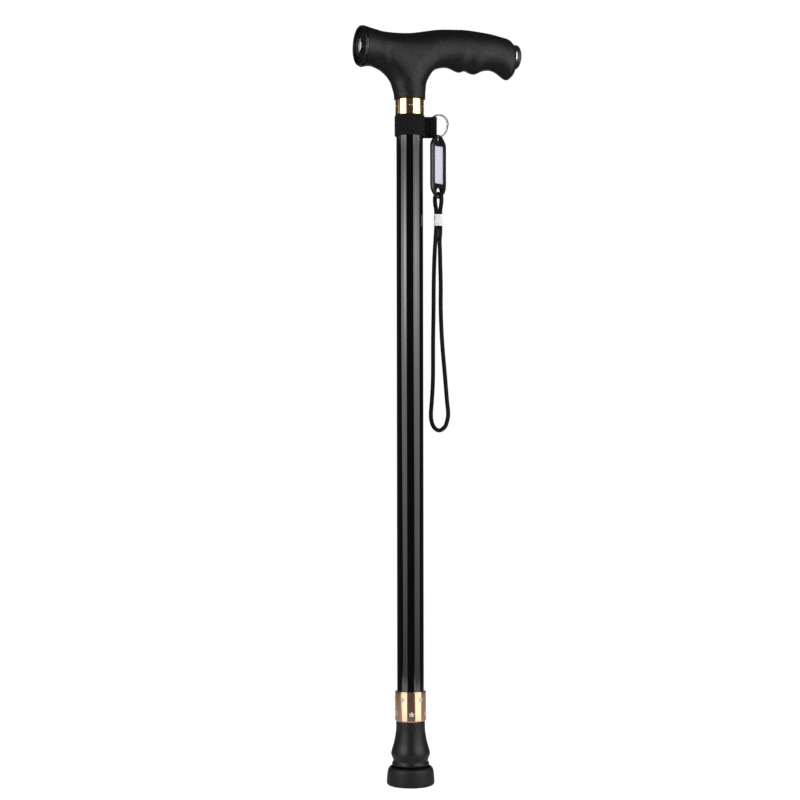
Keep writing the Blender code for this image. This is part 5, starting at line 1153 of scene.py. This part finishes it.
paper = surface("pale lilac paper", PAPER_SHADED, PAPER, smooth=0.75, rough=0.85, patch=0.003)
grained(paper, pebble=0.0002, depth=0.000006, fine=1.0)
clear_sheet = surface("clear sheet", (0.90, 0.90, 0.92), (0.95, 0.95, 0.97), smooth=0.10, rough=0.20)
give(*shader_of(clear_sheet), {"Alpha": 0.07})
for finish, (name, slot_name, node, back, front) in zip((paper, clear_sheet), SHEETS):
    sheet = slab((RECESS_LEFT + SHEET_ROOM, RECESS_FOOT + SHEET_ROOM, back),
                 (RECESS_RIGHT - SHEET_ROOM, RECESS_TOP - SHEET_ROOM, front))
    ease_sharp(sheet, SHEET_EASE)
    bmesh.ops.transform(sheet, matrix=tag_stance, verts=sheet.verts)
    settle(name, sheet, finish, "tag", slot_name, node)

# Wrist loop: 3.5 mm braided black polyester cord. A small eye of it goes through the tag's lower hole, a
# pressed metal sleeve holds the four ends, and the long loop for the wrist hangs below.
CORD_RADIUS = 0.00175
TAG_WEB_HEIGHT = 0.4852
CRIMP_FOOT = 0.4618
# Up from the sleeve: distance from the middle line, turn in degrees, height above the tag's lower web
EYE_ROUTE = [(0.00163, 0.0, -0.0177), (0.00163, 0.0, -0.0131), (0.00172, -8.0, -0.0106),
             (0.0019, -14.0, -0.0088), (0.0024, -20.0, -0.0068), (0.0030, -30.0, -0.0035),
             (0.0032, -35.0, 0.0), (0.0026, -35.0, 0.0018)]
EYE_TOP = 0.00325
# Down one side and up the other: across the loop, height from the sleeve's lower face
WRIST_ROUTE = [(-0.00163, 0.00475), (-0.00163, 0.0), (-0.0018, -0.0034), (-0.0021, -0.0084),
               (-0.0024, -0.0133), (-0.0028, -0.0190), (-0.0034, -0.0320), (-0.0038, -0.0480),
               (-0.0040, -0.0700), (-0.0044, -0.0950), (-0.0046, -0.1282), (-0.0055, -0.1448),
               (-0.0063, -0.1556), (-0.0059, -0.1614), (-0.0044, -0.1659), (-0.0020, -0.1687),
               (0.0004, -0.1696), (0.0030, -0.1687), (0.0057, -0.1659), (0.0072, -0.1614), (0.0080, -0.1556),
               (0.0070, -0.1448), (0.0057, -0.1282), (0.0030, -0.0950), (0.0020, -0.0700), (0.0020, -0.0480),
               (0.0016, -0.0320), (0.00135, -0.0190), (0.00112, -0.0133), (0.00142, -0.0084),
               (0.00172, -0.0034), (0.00163, 0.0), (0.00163, 0.00475)]
CORD_SIDES = 24
CORD_STEP = 0.0012


def across_place(distance, turn, height):
    """A place beside the line on which the tag and cords hang."""
    heading = TAB_TURN + math.radians(turn)
    offset = Vector((math.cos(heading), math.sin(heading), 0.0)) * distance
    return HANG_PLACE + offset + UP * height


def braided():
    """Two sets of strands wound against each other, over one and under one."""
    group, given, out = shader_group(
        "braided cord", {"Strands": 8.0, "Lay length": 0.0018}, Height="Float", Shade="Float")
    laid = lay_of(group)
    round_it = maths(group, "MULTIPLY", laid["X"], given["Strands"])
    down_it = maths(group, "DIVIDE", laid["Y"], given["Lay length"])
    wound = [maths(group, operation, round_it, down_it) for operation in ("ADD", "SUBTRACT")]
    first, second = [crest(group, value) for value in wound]
    rows = maths(group, "ADD", *[maths(group, "FLOOR", value) for value in wound])
    over = maths(group, "FLOORED_MODULO", rows, 2.0)
    top = wire(group, "Mix", {0: over, "A": first, "B": second}).outputs["Result"]
    under = wire(group, "Mix", {0: over, "A": second, "B": first}).outputs["Result"]
    height = maths(group, "MULTIPLY", top, maths(group, "POWER", under, 0.4))
    return put_out_threads(group, out, height, hair_scale=4000.0)


def cord_tube(route):
    """A round tube along a route, with its turn and its run kept for the braid."""
    shape = bmesh.new()
    round_layer = shape.verts.layers.float.new("round")
    run_layer = shape.verts.layers.float.new("run")
    heading = (route[1] - route[0]).normalized()
    side = heading.orthogonal().normalized()
    ring = bmesh.ops.create_circle(shape, segments=CORD_SIDES, radius=CORD_RADIUS)["verts"]
    for count, corner in enumerate(ring):
        corner[round_layer] = count / CORD_SIDES
    stance = Matrix((side, heading.cross(side), heading)).transposed().to_4x4()
    stance.translation = route[0]
    bmesh.ops.transform(shape, matrix=stance, verts=ring)
    first_edges = shape.edges[:]
    edges = first_edges
    run = 0.0
    for before, here, after in zip(route, route[1:], route[2:] + [route[-1] * 2 - route[-2]]):
        run += (here - before).length
        turned_heading = (after - before).normalized()
        bend = heading.rotation_difference(turned_heading).to_matrix()
        heading = turned_heading
        move = Matrix.Translation(here) @ bend.to_4x4() @ Matrix.Translation(-before)
        grown = bmesh.ops.extrude_edge_only(shape, edges=edges)["geom"]
        corners = only(bmesh.types.BMVert, grown)
        edges = [edge for edge in only(bmesh.types.BMEdge, grown) if set(edge.verts) <= set(corners)]
        bmesh.ops.transform(shape, matrix=move, verts=corners)
        for corner in corners:
            corner[run_layer] = run
    bmesh.ops.contextual_create(shape, geom=first_edges)
    bmesh.ops.contextual_create(shape, geom=edges)
    lay = shape.loops.layers.uv.new("lay")
    for face in shape.faces:
        turns = [loop.vert[round_layer] for loop in face.loops]
        wraps = len(turns) == 4 and max(turns) - min(turns) > 0.5
        for loop in face.loops:
            turn = loop.vert[round_layer]
            loop[lay].uv = (turn + 1.0 if wraps and turn < 0.5 else turn, loop.vert[run_layer])
    bmesh.ops.recalc_face_normals(shape, faces=shape.faces)
    return shape


cord_fibre = cloth("black braided cord", (0.0012, 0.0012, 0.0012), (0.019, 0.019, 0.019), braided(), {},
                   depth=0.00030, shine=0.18)
up_side = [across_place(-distance, turn, TAG_WEB_HEIGHT + rise) for distance, turn, rise in EYE_ROUTE]
down_side = [across_place(distance, turn, TAG_WEB_HEIGHT + rise) for distance, turn, rise in EYE_ROUTE[::-1]]
eye_route = flowing(up_side + [across_place(0.0, 0.0, TAG_WEB_HEIGHT + EYE_TOP)] + down_side, CORD_STEP)
loop_places = [across_place(distance, 0.0, CRIMP_FOOT + rise) for distance, rise in WRIST_ROUTE]
wrist_route = flowing(loop_places, CORD_STEP)
eye = settle("tag_eye_cord", cord_tube(eye_route), cord_fibre, "lanyard", "cord", "tag_cord_loop")
wrist = settle("wrist_cord", cord_tube(wrist_route), cord_fibre, "lanyard", "cord", "wrist_loop_cord")

# Pressed sleeve: a short oval of thin white metal tube, squeezed flat round the four cord ends. The two
# cords leave it downwards as the wrist loop and upwards as the eye.
CRIMP_HEIGHT = 0.0096
CRIMP_HALF_WIDTH = 0.0036
CRIMP_HALF_DEPTH = 0.0020
CRIMP_WALL = 0.0003
CRIMP_EASE = 0.00012
CRIMP_BRACE = 0.0004
CRIMP_END_STEPS = 14


def oval(half_width, half_depth):
    """A long outline with round ends."""
    straight = half_width - half_depth
    outline = []
    for side, start in ((1, -90.0), (-1, 90.0)):
        ends = arc((0.0, 0.0), half_depth, start, start + 180.0, CRIMP_END_STEPS)
        outline += [(side * straight + across, along) for across, along in ends]
    return outline


outside = oval(CRIMP_HALF_WIDTH, CRIMP_HALF_DEPTH)
inside = oval(CRIMP_HALF_WIDTH - CRIMP_WALL, CRIMP_HALF_DEPTH - CRIMP_WALL)
sleeve = raise_plan([outside, inside], 0.0, CRIMP_HEIGHT, CRIMP_BRACE)
ease_sharp(sleeve, CRIMP_EASE)
bmesh.ops.rotate(sleeve, cent=(0, 0, 0), matrix=Matrix.Rotation(TAB_TURN, 3, "Z"), verts=sleeve.verts)
bmesh.ops.translate(sleeve, vec=HANG_PLACE + UP * CRIMP_FOOT, verts=sleeve.verts)
white_metal = surface(
    "white metal", (0.93, 0.93, 0.94), (0.97, 0.97, 0.98), smooth=0.34, rough=0.46, patch=0.002)
grained(white_metal, pebble=0.0006, depth=0.00002, fine=0.5)
crimp = settle("pressed_sleeve", sleeve, white_metal, "lanyard", "steel", "cord_crimp")
